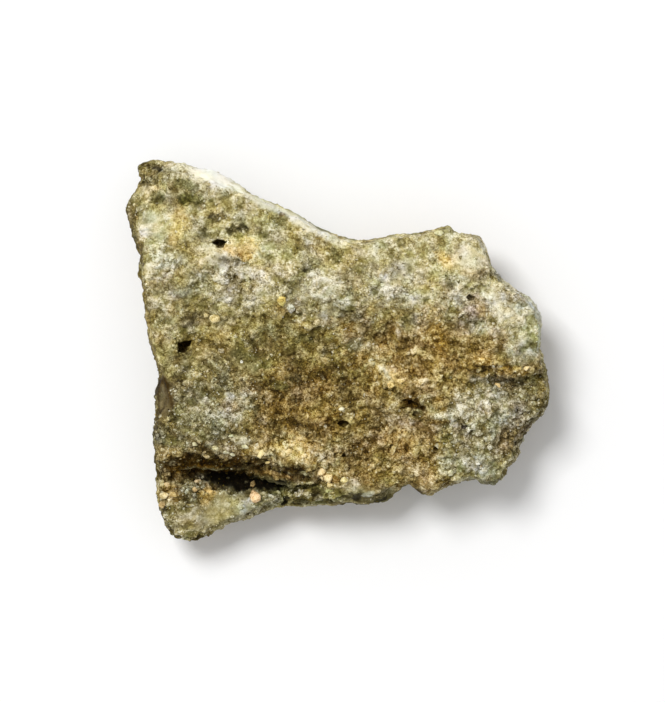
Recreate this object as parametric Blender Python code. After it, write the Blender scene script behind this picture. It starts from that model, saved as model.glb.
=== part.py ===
"""A broken piece of trinitite: one slab of sandy green glass, lying on a small flat spot.

The slab is two sheets, a top and an underside, joined by a broken wall. Both sheets
are height functions over one outline, so every roll, groove, lump and bubble is a named
feature with its place and size in millimetres, measured from the middle of the stone.
"""

import math
import random

import bpy
from mathutils import Vector, noise
from mathutils.geometry import delaunay_2d_cdt

MM = 0.001

# Driving sizes, in millimetres.
PLATEAU = 8.6  # height of the level parts of the top above the table
SOUTH_FALL = 0.055  # how fast the top sinks south of the middle, mm per mm
FLAT_SPOT = (-0.4, -0.6)  # middle of the spot that it rests on
FLAT_SPOT_RADIUS = 6.5
UNDERSIDE_RISE = 3.1  # how far the underside lifts between the flat spot and the edge
MID_WALL = 0.45  # share of the wall's height, from the top, where it stands out furthest
WALL_ROWS = 8
OUTLINE_STEP = 0.82
TOP_STEP = 0.75
UNDERSIDE_STEP = 1.2
SEED = 1945

# Outline seen from above, clockwise from the notch below the north-west knob.
KNOB = [
    (-19.7, 17.3), (-20.0, 17.9), (-20.4, 18.4), (-19.7, 18.9), (-18.5, 19.3), (-17.5, 19.1),
]
NORTH_EDGE = [
    (-15.8, 18.9), (-14.3, 18.4), (-13.2, 18.3), (-12.2, 18.2), (-11.4, 17.7), (-9.8, 16.6),
    (-8.2, 15.7), (-6.2, 14.8), (-4.3, 13.9), (-2.6, 12.9), (-1.0, 12.1), (0.9, 11.4),
    (2.4, 11.2), (4.6, 11.5), (6.2, 11.8), (8.6, 12.1), (10.0, 12.5), (11.2, 12.6),
    (11.9, 12.0), (14.1, 11.5),
]
EAST_EDGE = [
    (14.5, 10.8), (15.1, 9.9), (15.6, 8.4), (16.5, 7.2), (17.9, 6.1), (18.9, 5.5),
    (19.9, 4.4), (20.5, 3.2), (20.5, 1.9), (20.3, 0.3), (20.8, -1.2), (21.2, -2.9),
    (21.2, -5.3), (21.0, -6.0), (19.6, -7.3), (18.9, -8.5), (18.4, -9.5), (18.2, -10.7),
    (17.2, -11.5), (16.9, -12.5), (16.0, -13.4), (15.0, -13.6), (13.2, -13.0),
]
SOUTH_EDGE = [
    (11.7, -13.5), (10.3, -13.9), (9.6, -14.6), (8.6, -14.6), (7.6, -13.8), (6.9, -13.5),
    (6.2, -14.0), (5.4, -14.9), (4.8, -15.3), (2.2, -15.6), (1.1, -15.4), (-0.2, -15.6),
    (-1.6, -15.5), (-2.6, -15.7), (-4.8, -15.7), (-6.8, -16.0), (-8.0, -16.6), (-9.1, -17.1),
    (-10.8, -17.5), (-12.5, -18.3), (-13.9, -19.1), (-14.6, -19.3), (-16.0, -19.0),
    (-16.9, -18.5), (-17.7, -17.1),
]
WEST_EDGE = [
    (-18.1, -15.5), (-18.4, -13.3), (-18.3, -11.9), (-18.5, -11.0), (-18.4, -10.1),
    (-18.6, -8.9), (-18.4, -6.9), (-18.2, -5.5), (-18.5, -4.4), (-18.0, -3.0), (-18.1, -2.1),
    (-18.7, -0.3), (-19.1, 1.7), (-19.5, 4.3), (-19.5, 6.1), (-20.0, 7.4), (-20.0, 9.5),
    (-20.6, 11.3), (-21.2, 13.2), (-21.3, 14.4), (-20.9, 15.2), (-20.1, 16.1),
]
OUTLINE = KNOB + NORTH_EDGE + EAST_EDGE + SOUTH_EDGE + WEST_EDGE

# Broken edges that show from above: how far the top's rim stands back from the outline.
RIM_SET_BACK = 0.5
EDGE_FACES = [
    # place x, y, reach along the edge, set-back
    ("north_west_side", -20.9, 13.4, 3.2, 1.25),
    ("pale_bevel", -13.2, 18.3, 4.2, 1.5),
    ("south_facets", 3.2, -15.4, 3.4, 1.3),
    ("south_east_flank", 18.9, -8.6, 3.0, 1.0),
    ("lobe_edge", -7.4, -16.4, 2.8, 1.0),
]

# Chips knocked out of the broken wall: middle x, y, z, then reach along x, y and z.
SCOOPS = [
    ("west_glassy_chip", -20.5, -4.4, 9.2, 3.8, 2.9, 3.2),
    ("south_facet_west", 1.6, -16.9, 8.2, 1.9, 2.8, 3.2),
    ("south_facet_east", 5.5, -16.2, 8.2, 2.0, 2.7, 3.2),
    ("north_west_hollow", -22.6, 8.4, 2.2, 3.6, 3.6, 3.0),
    ("north_scoop_west", -9.4, 20.0, 2.4, 4.4, 4.4, 3.0),
    ("north_scoop_middle", -1.2, 15.4, 2.0, 3.6, 3.6, 3.0),
    ("north_scoop_east", 7.6, 15.0, 2.6, 3.8, 3.4, 2.8),
    ("north_east_scoop", 18.6, 9.6, 3.2, 3.4, 2.8, 2.6),
    ("east_scoop", 23.4, 1.4, 2.6, 3.6, 3.0, 2.9),
    ("south_east_scoop", 21.6, -10.6, 2.6, 3.6, 3.6, 3.0),
    ("south_scoop_east", 11.8, -16.4, 2.4, 3.4, 3.4, 2.9),
    ("south_scoop_middle", -1.8, -18.4, 1.8, 3.8, 3.6, 2.8),
    ("lobe_hollow", -20.8, -14.8, 1.4, 3.2, 3.6, 2.6),
]

# Rises and hollows of the top: place x, y, half length, half width, turn in degrees, height.
MOUNDS = [
    ("north_roll_west", -14.0, 7.9, 8.5, 3.1, -6, 1.8),
    ("north_roll_east", 0.5, 6.2, 9.5, 3.0, -4, 1.5),
    ("north_west_corner", -14.5, 14.4, 6.0, 2.6, -28, -0.3),
    ("bubble_dimple", -12.0, 11.3, 2.6, 1.0, -12, -0.5),
    ("ridge_below_bubble", -11.2, 10.05, 1.7, 0.45, -12, 0.5),
    ("north_bay_slope", 1.5, 11.0, 6.5, 2.3, -14, -0.8),
    ("middle_trough_west", -9.0, 0.2, 8.5, 2.7, -6, -0.85),
    ("middle_trough_east", 4.5, 0.8, 7.0, 2.6, 4, -0.7),
    ("south_west_roll", -12.6, -6.8, 6.5, 3.1, 0, 1.5),
    ("white_spot", -9.6, -8.3, 1.1, 0.7, 20, 0.4),
    ("sandy_swell", 3.0, -7.2, 7.0, 3.8, 4, 0.7),
    ("tan_brow", -3.6, -9.9, 3.2, 1.4, -6, 0.75),
    ("tan_lump", -0.7, -12.6, 1.3, 0.9, 10, 0.75),
    ("south_rim_dip", 5.5, -12.2, 4.0, 1.4, 6, -0.7),
    ("north_east_knob", 13.4, 8.6, 2.5, 2.3, 20, 1.6),
    ("pale_shoulder", 17.4, 4.0, 2.7, 2.2, -40, 1.0),
    ("grey_valley", 12.8, 2.6, 2.4, 1.5, -30, -0.9),
    ("tan_terrace", 17.2, -1.4, 3.2, 0.9, -8, 0.9),
    ("south_east_lump", 14.4, -6.2, 4.2, 2.8, 24, 1.5),
    ("south_east_hollow", 17.4, -8.4, 1.9, 1.2, 50, -0.8),
    ("south_east_toe", 14.8, -11.6, 2.2, 1.7, 0, 0.6),
]
LOBE_BACK = (-13.6, -16.4, 4.2, 1.8, 14, 0.6)

# Narrow creases: start x, y, end x, y, reach on the left and right of the way, depth.
CREASES = [
    ("east_crease", 16.0, -3.1, 21.6, -2.3, 0.35, 1.3, 1.8),
    ("east_crease_tail", 13.4, -3.5, 16.0, -3.1, 0.35, 0.8, 0.6),
    ("lip_fissure", -5.5, -14.0, -5.2, -15.6, 0.5, 0.5, 1.3),
    ("lip_gap", 6.7, -12.9, 7.1, -14.2, 0.7, 0.7, 0.7),
]

# The knob at the north-west corner is a lower layer that sticks out beyond this line.
KNOB_LINE = ((-20.8, 15.2), (-16.7, 18.2))
KNOB_DROP = 2.2
KNOB_RUN = 0.7
KNOB_FALL = 0.45  # how fast the knob itself sinks away from that line, mm per mm

# Open bubbles in the glass: place x, y, half length, half width, turn in degrees, depth.
PITS = [
    ("west_bubble", -15.25, 0.4, 0.62, 0.56, 10, 1.9),
    ("north_bubble", -11.75, 10.65, 0.72, 0.42, 0, 1.6),
    ("east_bubble", 13.2, 5.3, 0.40, 0.36, 0, 0.9),
    ("tan_pit", 7.6, -5.3, 0.75, 0.45, -10, 1.0),
    ("green_pit", 7.8, -6.25, 0.45, 0.40, 0, 0.8),
    ("centre_pit", 0.5, -7.25, 0.65, 0.34, 5, 0.9),
    ("grey_pit", 12.6, -7.6, 0.42, 0.38, 0, 0.8),
    ("brow_pit", 0.6, -10.4, 0.40, 0.36, 30, 0.7),
    ("sand_pit", 5.4, -9.5, 0.42, 0.34, 20, 0.7),
    ("south_pit", 9.8, -9.8, 0.38, 0.34, 0, 0.7),
]

# The groove under the south-west brow, as rows that run from west to east: the brow,
# the lip of the overhang, the slot under it, the edge of a thin ledge, the floor of the
# groove, and the shelf that comes out of it again. Each has its y and z at these x.
GROOVE_X = [-19.4, -17.0, -15.0, -12.5, -9.5, -7.5, -5.0, -2.6, -0.6, 0.9]
BROW_Y = [-11.2, -11.0, -10.1, -9.9, -10.0, -10.7, -11.1, -11.3, -11.0, -10.9]
LIP_Y = [-11.5, -11.5, -11.7, -11.9, -11.8, -11.4, -11.5, -11.7, -11.4, -11.3]
LIP_DROP = [0.6, 1.4, 2.1, 2.3, 2.0, 1.0, 0.5, 0.4, 0.3, 0.1]
SLOT_Y = [-11.8, -11.9, -12.1, -12.3, -12.2, -11.8, -11.9, -12.0, -11.8, -11.8]
SLOT_Z = [6.6, 6.3, 5.6, 4.9, 5.1, 6.2, 6.9, 7.1, 7.3, 7.6]
LEDGE_Y = [-12.1, -12.3, -12.5, -12.8, -12.7, -12.7, -12.9, -12.7, -12.4, -12.3]
LEDGE_Z = [6.4, 5.9, 5.0, 4.1, 4.3, 5.8, 6.7, 7.0, 7.3, 7.6]
FLOOR_Y = [-12.6, -12.8, -13.2, -13.6, -13.9, -13.8, -13.4, -13.2, -12.9, -12.8]
FLOOR_Z = [6.2, 5.6, 4.6, 3.6, 3.4, 3.5, 4.1, 5.5, 6.9, 7.4]
SHELF_Y = [-13.5, -13.7, -14.2, -14.8, -15.0, -14.9, -14.3, -13.8, -13.4, -13.3]
SHELF_Z = [6.0, 6.2, 6.4, 6.2, 5.8, 5.8, 6.1, 6.6, 7.2, 7.5]
SLOT_UNDERCUT = [0.0, 0.0, 0.2, 0.5, 0.5, 0.5, 0.5, 0.4, 0.0, 0.0]
LEDGE_UNDERCUT = [0.0, 0.0, 0.5, 1.2, 0.9, 0.2, 0.0, 0.0, 0.0, 0.0]
FLOOR_UNDERCUT = [0.0, 0.0, 0.4, 0.9, 0.9, 0.8, 0.7, 0.4, 0.0, 0.0]
GROOVE_FADE = 2.6  # how far west of the last x the groove has its full depth
LOBE_FALL = 0.24  # how fast the lobe and the lip sink southwards, mm per mm

# Uneven broken glass: height and length of each size of lump.
ROUGH_TOP = [(0.34, 3.4), (0.26, 1.6), (0.14, 0.9)]
ROUGH_UNDERSIDE = [(0.75, 4.2), (0.45, 1.9)]
FRACTURE_SIZE = 3.0  # size of the shell-shaped facets of the broken wall
FRACTURE_DEPTH = 0.85


def turned(x, y, place_x, place_y, degrees):
    """Where (x, y) lies along and across a feature at its own place and turn."""
    c, s = math.cos(math.radians(degrees)), math.sin(math.radians(degrees))
    dx, dy = x - place_x, y - place_y
    return dx * c + dy * s, dy * c - dx * s


def swell(x, y, place_x, place_y, long, wide, degrees):
    """1 in the middle of an oval feature, fading to nothing at about twice its radii."""
    u, v = turned(x, y, place_x, place_y, degrees)
    return math.exp(-((u / long) ** 2 + (v / wide) ** 2))


def eased(t):
    t = min(1.0, max(0.0, t))
    return t * t * (3 - 2 * t)


def between(x, xs, ys):
    """Value at x on a line through (xs, ys), level beyond its ends."""
    if x <= xs[0]:
        return ys[0]
    for i in range(len(xs) - 1):
        if x <= xs[i + 1]:
            share = (x - xs[i]) / (xs[i + 1] - xs[i])
            return ys[i] + (ys[i + 1] - ys[i]) * share
    return ys[-1]


def rough(x, y, z, lumps):
    return sum(height * noise.noise(Vector((x, y, z)) / length) for height, length in lumps)


def smooth_loop(corners, step):
    """Points about one step apart on a smooth closed curve through the corners."""
    points = []
    count = len(corners)
    for i in range(count):
        before, here, there, after = (Vector(corners[(i + k) % count]) for k in (-1, 0, 1, 2))
        pieces = max(1, round((there - here).length / step))
        for k in range(pieces):
            t = k / pieces
            points.append(
                0.5 * (2 * here + (there - before) * t
                       + (2 * before - 5 * here + 4 * there - after) * t * t
                       + (3 * here - before - 3 * there + after) * t ** 3)
            )
    return points


def evened(loop, step):
    """The closed loop again, with its points an even step apart."""
    lengths = [(loop[(i + 1) % len(loop)] - loop[i]).length for i in range(len(loop))]
    total = sum(lengths)
    count = round(total / step)
    points, at, passed = [], 0, 0.0
    for k in range(count):
        target = total * k / count
        while passed + lengths[at] < target:
            passed += lengths[at]
            at += 1
        share = (target - passed) / lengths[at]
        points.append(loop[at].lerp(loop[(at + 1) % len(loop)], share))
    return points


def inward_normals(loop, reach=3):
    """Unit vectors into the stone, smoothed over a few neighbours each way."""
    count = len(loop)
    normals = []
    for i in range(count):
        along = loop[(i + reach) % count] - loop[i - reach]
        normals.append(Vector((along.y, -along.x)).normalized())
    return normals


def groove_rows(x, plain):
    """The groove's rows at this x, from north to south: y, height, shift to the north."""
    def at(values):
        return between(x, GROOVE_X, values)

    return [
        (at(BROW_Y), plain, 0.0),
        (at(LIP_Y), plain - at(LIP_DROP), 0.0),
        (at(SLOT_Y), at(SLOT_Z), at(SLOT_UNDERCUT)),
        (at(LEDGE_Y), at(LEDGE_Z), at(LEDGE_UNDERCUT)),
        (at(FLOOR_Y), at(FLOOR_Z), at(FLOOR_UNDERCUT)),
        (at(SHELF_Y), at(SHELF_Z), 0.0),
    ]


def in_groove(x, y, plain):
    """Height and northward shift of the top at and beyond the groove."""
    rows = groove_rows(x, plain)
    if y >= rows[0][0]:
        return plain, 0.0
    for (y0, z0, shift0), (y1, z1, shift1) in zip(rows, rows[1:]):
        if y >= y1:
            share = (y0 - y) / (y0 - y1)
            return z0 + (z1 - z0) * share, shift0 + (shift1 - shift0) * share
    last_y, last_z, _ = rows[-1]
    return last_z - LOBE_FALL * (last_y - y) + LOBE_BACK[5] * swell(x, y, *LOBE_BACK[:5]), 0.0


def crease_drop(x, y):
    """How far the creases lower the top: steep on one side, easy on the other."""
    drop = 0.0
    for _, x0, y0, x1, y1, left, right, depth in CREASES:
        way = Vector((x1 - x0, y1 - y0))
        length = way.length
        way.normalize()
        along = (x - x0) * way.x + (y - y0) * way.y
        across = (y - y0) * way.x - (x - x0) * way.y
        beyond = max(0.0, -along, along - length)
        wide = left if across > 0 else right
        drop += depth * math.exp(-(across / wide) ** 2 - (beyond / 0.7) ** 2)
    return drop


def knob_drop(x, y):
    """How far the top is lowered beyond the line where the knob begins."""
    (x0, y0), (x1, y1) = KNOB_LINE
    along = Vector((x1 - x0, y1 - y0)).normalized()
    beyond = (y - y0) * along.x - (x - x0) * along.y
    return KNOB_DROP * eased(beyond / KNOB_RUN) + KNOB_FALL * max(0.0, beyond)


def top_at(x, y):
    """The point of the top sheet over (x, y), without its pits."""
    z = PLATEAU - SOUTH_FALL * max(0.0, 3.0 - y)
    z += sum(m[6] * swell(x, y, *m[1:6]) for m in MOUNDS)
    sunk, shift = in_groove(x, y, z)
    west = eased((GROOVE_X[-1] - x) / GROOVE_FADE)
    z += (sunk - z) * west
    z -= crease_drop(x, y) + knob_drop(x, y)
    return Vector((x, y + shift * west, z + rough(x, y, 0.0, ROUGH_TOP)))


def underside_height(x, y):
    """Height of the underside: a flat spot, with the rest lifting towards the edge."""
    away = math.hypot(x - FLAT_SPOT[0], (y - FLAT_SPOT[1]) * 1.15) - FLAT_SPOT_RADIUS
    lift = UNDERSIDE_RISE * eased(away / 15.0)
    return max(0.0, lift + rough(x, y, 40.0, ROUGH_UNDERSIDE) * eased((away + 1.5) / 5.0))


def set_back(point):
    """How far the top's rim stands back from the outline at this place."""
    value = RIM_SET_BACK
    for _, x, y, reach, wide in EDGE_FACES:
        near = math.exp(-(((point.x - x) ** 2 + (point.y - y) ** 2) / reach ** 2))
        value += (wide - RIM_SET_BACK) * near
    return value


def fracture(point):
    """Depth of the shell-shaped facets at this place: hollow inside, sharp where they meet."""
    distances, _ = noise.voronoi(point / FRACTURE_SIZE)
    return FRACTURE_DEPTH * (1 - distances[0] / distances[1])


def wall_rows(loop, normals):
    """Rows of points down the broken wall, from the top's rim to the underside's."""
    rows = [[] for _ in range(WALL_ROWS + 1)]
    for point, normal in zip(loop, normals):
        back = set_back(point)
        under_back = 1.4 + 0.5 * noise.noise(Vector((point.x, point.y, 9.0)) / 3.0)
        rim = point + normal * back
        foot = point + normal * under_back
        rim_z, foot_z = top_at(*rim).z, underside_height(*foot)
        for k in range(WALL_ROWS + 1):
            share = k / WALL_ROWS
            if share < MID_WALL:
                inset = back * (1 - share / MID_WALL) ** 1.2
            else:
                inset = under_back * ((share - MID_WALL) / (1 - MID_WALL)) ** 1.6
            z = rim_z + (foot_z - rim_z) * share
            if 0 < k < WALL_ROWS:
                from_widest = min(1.0, abs(share - MID_WALL) / 0.22)
                facets = fracture(Vector((point.x, point.y, z * 1.2)))
                inset += facets * (0.08 + 0.92 * from_widest)
            at = point + normal * inset
            rows[k].append(Vector((at.x, at.y, z)))
    return rows


def scooped(point):
    """The point pushed back to the surface of any chip that reaches it."""
    for _, x, y, z, reach_x, reach_y, reach_z in SCOOPS:
        away = Vector(((point.x - x) / reach_x, (point.y - y) / reach_y, (point.z - z) / reach_z))
        if 0 < away.length < 1:
            away.normalize()
            point = Vector((x + away.x * reach_x, y + away.y * reach_y, z + away.z * reach_z))
    return point


def inside(x, y, loop, clearance):
    """Whether the point is within the loop and at least the clearance away from it."""
    crossings = False
    for i, end in enumerate(loop):
        start = loop[i - 1]
        if (start.y > y) != (end.y > y):
            if x < start.x + (y - start.y) / (end.y - start.y) * (end.x - start.x):
                crossings = not crossings
        if math.hypot(end.x - x, end.y - y) < clearance:
            return False
    return crossings


def groove_points(loop, chance):
    """Points along each row of the groove, so that its edges come out crisp."""
    points = []
    x = GROOVE_X[0]
    while x < GROOVE_X[-1] - 0.8:
        for row in range(6):
            at = x + 0.31 * (row % 2) + chance.uniform(-0.06, 0.06)
            y = groove_rows(at, 0.0)[row][0]
            if inside(at, y, loop, 0.42):
                points.append((at, y))
        x += 0.62
    return points


def crease_points(loop, chance):
    """Three rows along the long east crease: its edge, its bottom and its easy side."""
    points = []
    _, x0, y0, x1, y1, left, right, _ = CREASES[0]
    way = Vector((x1 - x0, y1 - y0)).normalized()
    for across in (left * 1.5, 0.0, -right * 0.75):
        along = -2.4 + 0.3 * (across == 0.0)
        while along < 6:
            x = x0 + way.x * along - way.y * across + chance.uniform(-0.05, 0.05)
            y = y0 + way.y * along + way.x * across
            if inside(x, y, loop, 0.45):
                points.append((x, y))
            along += 0.6
    return points


def pit_rings():
    """Points that give each pit a rim, a wall and a floor, and the edges between them.

    A point is its x, its y and its depth below the top.
    """
    chance = random.Random(SEED)
    points, edges = [], []
    for _, x, y, long, wide, degrees, depth in PITS:
        c, s = math.cos(math.radians(degrees)), math.sin(math.radians(degrees))
        for size, share in ((1.0, 0.0), (0.74, 0.85)):
            edges += [(len(points) + k, len(points) + (k + 1) % 8) for k in range(8)]
            for k in range(8):
                angle = math.tau * (k + chance.uniform(-0.25, 0.25)) / 8
                u, v = long * size * math.cos(angle), wide * size * math.sin(angle)
                points.append((x + u * c - v * s, y + u * s + v * c, depth * share))
        points.append((x, y, depth))
    return points, edges


def clear_of_pits(x, y):
    for _, pit_x, pit_y, long, wide, degrees, _ in PITS:
        u, v = turned(x, y, pit_x, pit_y, degrees)
        if (u / (long + 0.3)) ** 2 + (v / (wide + 0.3)) ** 2 < 1:
            return False
    return True


def clear_of(x, y, placed, distance):
    return all(abs(x - p[0]) > distance or abs(y - p[1]) > distance for p in placed)


def scattered(loop, step, chance):
    """A slightly uneven grid of points inside the loop."""
    reach = 23.0
    points = []
    row_step = step * math.sqrt(3) / 2
    for row in range(int(-reach / row_step), int(reach / row_step) + 1):
        for column in range(int(-reach / step), int(reach / step) + 1):
            x = (column + 0.5 * (row % 2)) * step + chance.uniform(-0.18, 0.18) * step
            y = row * row_step + chance.uniform(-0.18, 0.18) * step
            if inside(x, y, loop, step * 0.62):
                points.append((x, y))
    return points


def sheet(loop, extra, kept=()):
    """Triangles that fill the loop through the extra points, with the kept edges among these.

    The loop's own points come first in the numbering.
    """
    flat = [Vector((p.x, p.y)) for p in loop] + [Vector(p) for p in extra]
    edges = [(i, (i + 1) % len(loop)) for i in range(len(loop))]
    edges += [(a + len(loop), b + len(loop)) for a, b in kept]
    points, _, faces, _, _, _ = delaunay_2d_cdt(flat, edges, [], 1, 1e-6)
    if len(points) != len(flat):
        raise ValueError("the rim crosses itself, or two points of the sheet meet")
    return faces


def top_plan(rim, chance):
    """Where the points of the top go, rows along the groove and the crease first."""
    rows = groove_points(rim, chance)
    rows += [p for p in crease_points(rim, chance) if clear_of_pits(*p)]
    grid = scattered(rim, TOP_STEP, chance)
    return rows + [p for p in grid if clear_of_pits(*p) and clear_of(*p, rows, 0.36)]


def stone_mesh():
    chance = random.Random(SEED)
    loop = evened(smooth_loop(OUTLINE, 0.4), OUTLINE_STEP)
    rows = wall_rows(loop, inward_normals(loop))
    count = len(loop)
    points = [p for row in rows for p in row]
    faces = []
    for k in range(WALL_ROWS):
        for i in range(count):
            a, b = k * count + i, k * count + (i + 1) % count
            faces.append((a, b, b + count) if (i + k) % 2 else (a, b, a + count))
            faces.append((a, b + count, a + count) if (i + k) % 2 else (b, b + count, a + count))

    plan = top_plan(rows[0], chance)
    pits, pit_edges = pit_rings()
    start = len(points)
    points += [top_at(x, y) - Vector((0, 0, depth)) for x, y, depth in pits]
    points += [top_at(x, y) for x, y in plan]
    for face in sheet(rows[0], [p[:2] for p in pits] + plan, pit_edges):
        faces.append(tuple(i if i < count else i - count + start for i in face))

    low = WALL_ROWS * count
    plan = scattered(rows[-1], UNDERSIDE_STEP, chance)
    start = len(points)
    points += [Vector((x, y, underside_height(x, y))) for x, y in plan]
    for face in sheet(rows[-1], plan):
        faces.append(tuple(i + low if i < count else i - count + start for i in reversed(face)))

    points = [scooped(p) for p in points]
    middle = [(min(p[k] for p in points) + max(p[k] for p in points)) / 2 for k in (0, 1)]
    print(f"moved by {-middle[0]:.3f} {-middle[1]:.3f} mm to stand over the middle of its box")
    points = [p - Vector((*middle, 0)) for p in points]

    mesh = bpy.data.meshes.new("trinitite")
    mesh.from_pydata([p * MM for p in points], [], faces)
    mesh.validate()
    return mesh


def glass_material():
    material = bpy.data.materials.new("sandy_green_glass")
    material.use_nodes = True
    shader = material.node_tree.nodes["Principled BSDF"]
    shader.inputs["Base Color"].default_value = (0.29, 0.24, 0.12, 1)
    shader.inputs["Roughness"].default_value = 0.42
    shader.inputs["Metallic"].default_value = 0
    return material


def main():
    for old in list(bpy.data.objects):
        bpy.data.objects.remove(old)
    mesh = stone_mesh()
    mesh.materials.append(glass_material())
    stone = bpy.data.objects.new("trinitite", mesh)
    bpy.context.scene.collection.objects.link(stone)
    mesh.shade_smooth()
    mesh.set_sharp_from_angle(angle=math.radians(35))


main()
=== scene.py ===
# %% [markdown]
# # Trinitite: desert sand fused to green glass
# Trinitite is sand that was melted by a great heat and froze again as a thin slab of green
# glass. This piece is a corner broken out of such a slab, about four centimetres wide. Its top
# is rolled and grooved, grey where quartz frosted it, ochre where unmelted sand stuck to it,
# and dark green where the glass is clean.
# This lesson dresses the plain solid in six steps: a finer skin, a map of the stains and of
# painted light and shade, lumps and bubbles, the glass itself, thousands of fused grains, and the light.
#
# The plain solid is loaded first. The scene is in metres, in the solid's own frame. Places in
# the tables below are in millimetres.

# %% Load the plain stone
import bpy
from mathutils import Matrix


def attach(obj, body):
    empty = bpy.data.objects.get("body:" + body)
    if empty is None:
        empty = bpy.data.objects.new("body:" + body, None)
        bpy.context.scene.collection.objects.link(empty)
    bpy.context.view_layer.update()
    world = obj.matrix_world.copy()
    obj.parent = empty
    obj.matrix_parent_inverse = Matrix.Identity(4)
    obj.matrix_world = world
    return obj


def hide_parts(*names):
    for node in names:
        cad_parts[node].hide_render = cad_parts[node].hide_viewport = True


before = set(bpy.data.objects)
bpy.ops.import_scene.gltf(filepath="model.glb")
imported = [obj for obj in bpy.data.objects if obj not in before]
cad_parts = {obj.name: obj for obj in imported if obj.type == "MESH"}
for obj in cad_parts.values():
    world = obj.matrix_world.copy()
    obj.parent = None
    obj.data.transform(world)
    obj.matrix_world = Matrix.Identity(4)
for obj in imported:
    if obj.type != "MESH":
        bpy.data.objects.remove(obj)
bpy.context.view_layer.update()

# %% Tools and units
import math
import random

import bmesh
import bpy
import numpy as np
from mathutils import Matrix, Vector, noise
from mathutils.bvhtree import BVHTree

MM = 0.001
NODE = "trinitite"

# %% [markdown]
# ## A finer skin
# The plain solid has faces about a millimetre wide, so it has the rolls and ledges of the real
# stone and none of its grain. More faces are needed before anything finer can be shaped.
# Splitting every face alike would waste most of them on the underside, so only edges that are
# too long for their place are split, and that is done again until none is left. The top, which
# is seen closest, gets short edges, and the shortest go around the open bubbles, where gas
# burst out of the melt and left crisp rims. A little smoothing then takes the flatness out of
# the old, larger faces.

# %% Open bubbles
# what it is, x, y, half length, half width, turn in degrees, depth, all in millimetres
BUBBLES = [
    ("west_bubble", -15.3, 0.4, 0.66, 0.58, 10, 1.9),
    ("north_bubble", -11.75, 10.65, 0.72, 0.42, 0, 1.6),
    ("east_bubble", 13.2, 5.3, 0.42, 0.34, 0, 0.9),
    ("tan_pit", 7.5, -5.3, 0.7, 0.32, -25, 0.9),
    ("tan_pit_west", 6.7, -5.0, 0.3, 0.22, 10, 0.5),
    ("tan_pit_east", 8.5, -5.7, 0.34, 0.2, -10, 0.5),
    ("green_pit", 7.8, -6.3, 0.36, 0.32, 0, 0.6),
    ("centre_pit", 0.6, -7.25, 0.75, 0.36, 5, 0.9),
    ("grey_pit", 12.6, -7.6, 0.34, 0.28, 0, 0.8),
    ("brow_pit", 0.6, -10.4, 0.24, 0.24, 30, 0.5),
    ("sand_pit", 5.4, -9.5, 0.3, 0.2, 20, 0.5),
    ("south_pit", 9.8, -9.8, 0.26, 0.2, 0, 0.5),
]
# two of them are broken open along flat cracks, so their corners are given one by one
OUTLINES = {
    "west_bubble": [
        (-15.9, 0.75), (-15.3, 0.95), (-14.6, 1.0), (-14.7, 0.5), (-15.0, 0.1), (-15.2, -0.2),
        (-15.9, -0.2), (-15.95, 0.3),
    ],
    "north_bubble": [
        (-12.5, 10.8), (-12.0, 11.1), (-11.3, 11.0), (-11.0, 10.85), (-11.2, 10.7),
        (-11.35, 10.25), (-11.9, 10.25), (-12.1, 10.5), (-12.4, 10.65),
    ],
}
CORNERS = 8


def cosine_and_sine(degrees):
    """Both of them, for a turn in degrees."""
    return math.cos(math.radians(degrees)), math.sin(math.radians(degrees))


def chance_outline(x, y, long, wide, degrees, seed):
    """The corners of an uneven hole."""
    chance = random.Random(seed)
    c, s = cosine_and_sine(degrees)
    corners = []
    for k in range(CORNERS):
        angle = math.tau * (k + chance.uniform(-0.3, 0.3)) / CORNERS
        reach = chance.uniform(0.7, 1.15)
        u, v = reach * long * math.cos(angle), reach * wide * math.sin(angle)
        corners.append((x + u * c - v * s, y + u * s + v * c))
    return corners


for seed, (name, *numbers, _) in enumerate(BUBBLES):
    if name not in OUTLINES:
        OUTLINES[name] = chance_outline(*numbers, seed)
print(len(BUBBLES), "open bubbles")

# %% Split the long edges
TOP_EDGE = 0.197  # longest edge on the top, in millimetres
RIM_EDGE = 0.25  # and on the upper part of the broken sides, which draws the outline
SIDE_EDGE = 0.4  # and on the rest of the sides and the underside
BUBBLE_EDGE = 0.08  # and around the open bubbles, whose rims are crisp
UPPER = 3  # all that is seen from above lies higher than this, in millimetres
TOO_LONG = 1.3  # an edge is split when it is this many times longer than wanted
MOST_ROUNDS = 9
TILE = 0.25  # the ground is ruled in tiles this wide to look up what is near a bubble
by_a_bubble = set()
for _, x, y, long, _, _, _ in BUBBLES:
    reach = math.ceil(long / TILE + 1)
    for i in range(-reach, reach + 1):
        for j in range(-reach, reach + 1):
            by_a_bubble.add((round(x / TILE) + i, round(y / TILE) + j))


def wanted_edge(edge):
    """The longest that this edge may be, in metres."""
    middle = (edge.verts[0].co + edge.verts[1].co) / (2 * MM)
    if middle.z > UPPER and (round(middle.x / TILE), round(middle.y / TILE)) in by_a_bubble:
        return BUBBLE_EDGE * MM
    up = max(face.normal.z for face in edge.link_faces)
    if up > 0.25:
        return TOP_EDGE * MM
    return (RIM_EDGE if up > -0.3 and middle.z > UPPER else SIDE_EDGE) * MM


def finer(bm):
    """Splits long edges until none is left, and returns how many rounds that took."""
    for turn in range(MOST_ROUNDS):
        bm.normal_update()
        long = [e for e in bm.edges if e.calc_length() > wanted_edge(e) * TOO_LONG]
        if not long:
            break
        bmesh.ops.subdivide_edges(bm, edges=long, cuts=1, use_grid_fill=True, use_single_edge=True)
        bmesh.ops.triangulate(bm, faces=[f for f in bm.faces if len(f.verts) > 3])
    return turn


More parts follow.
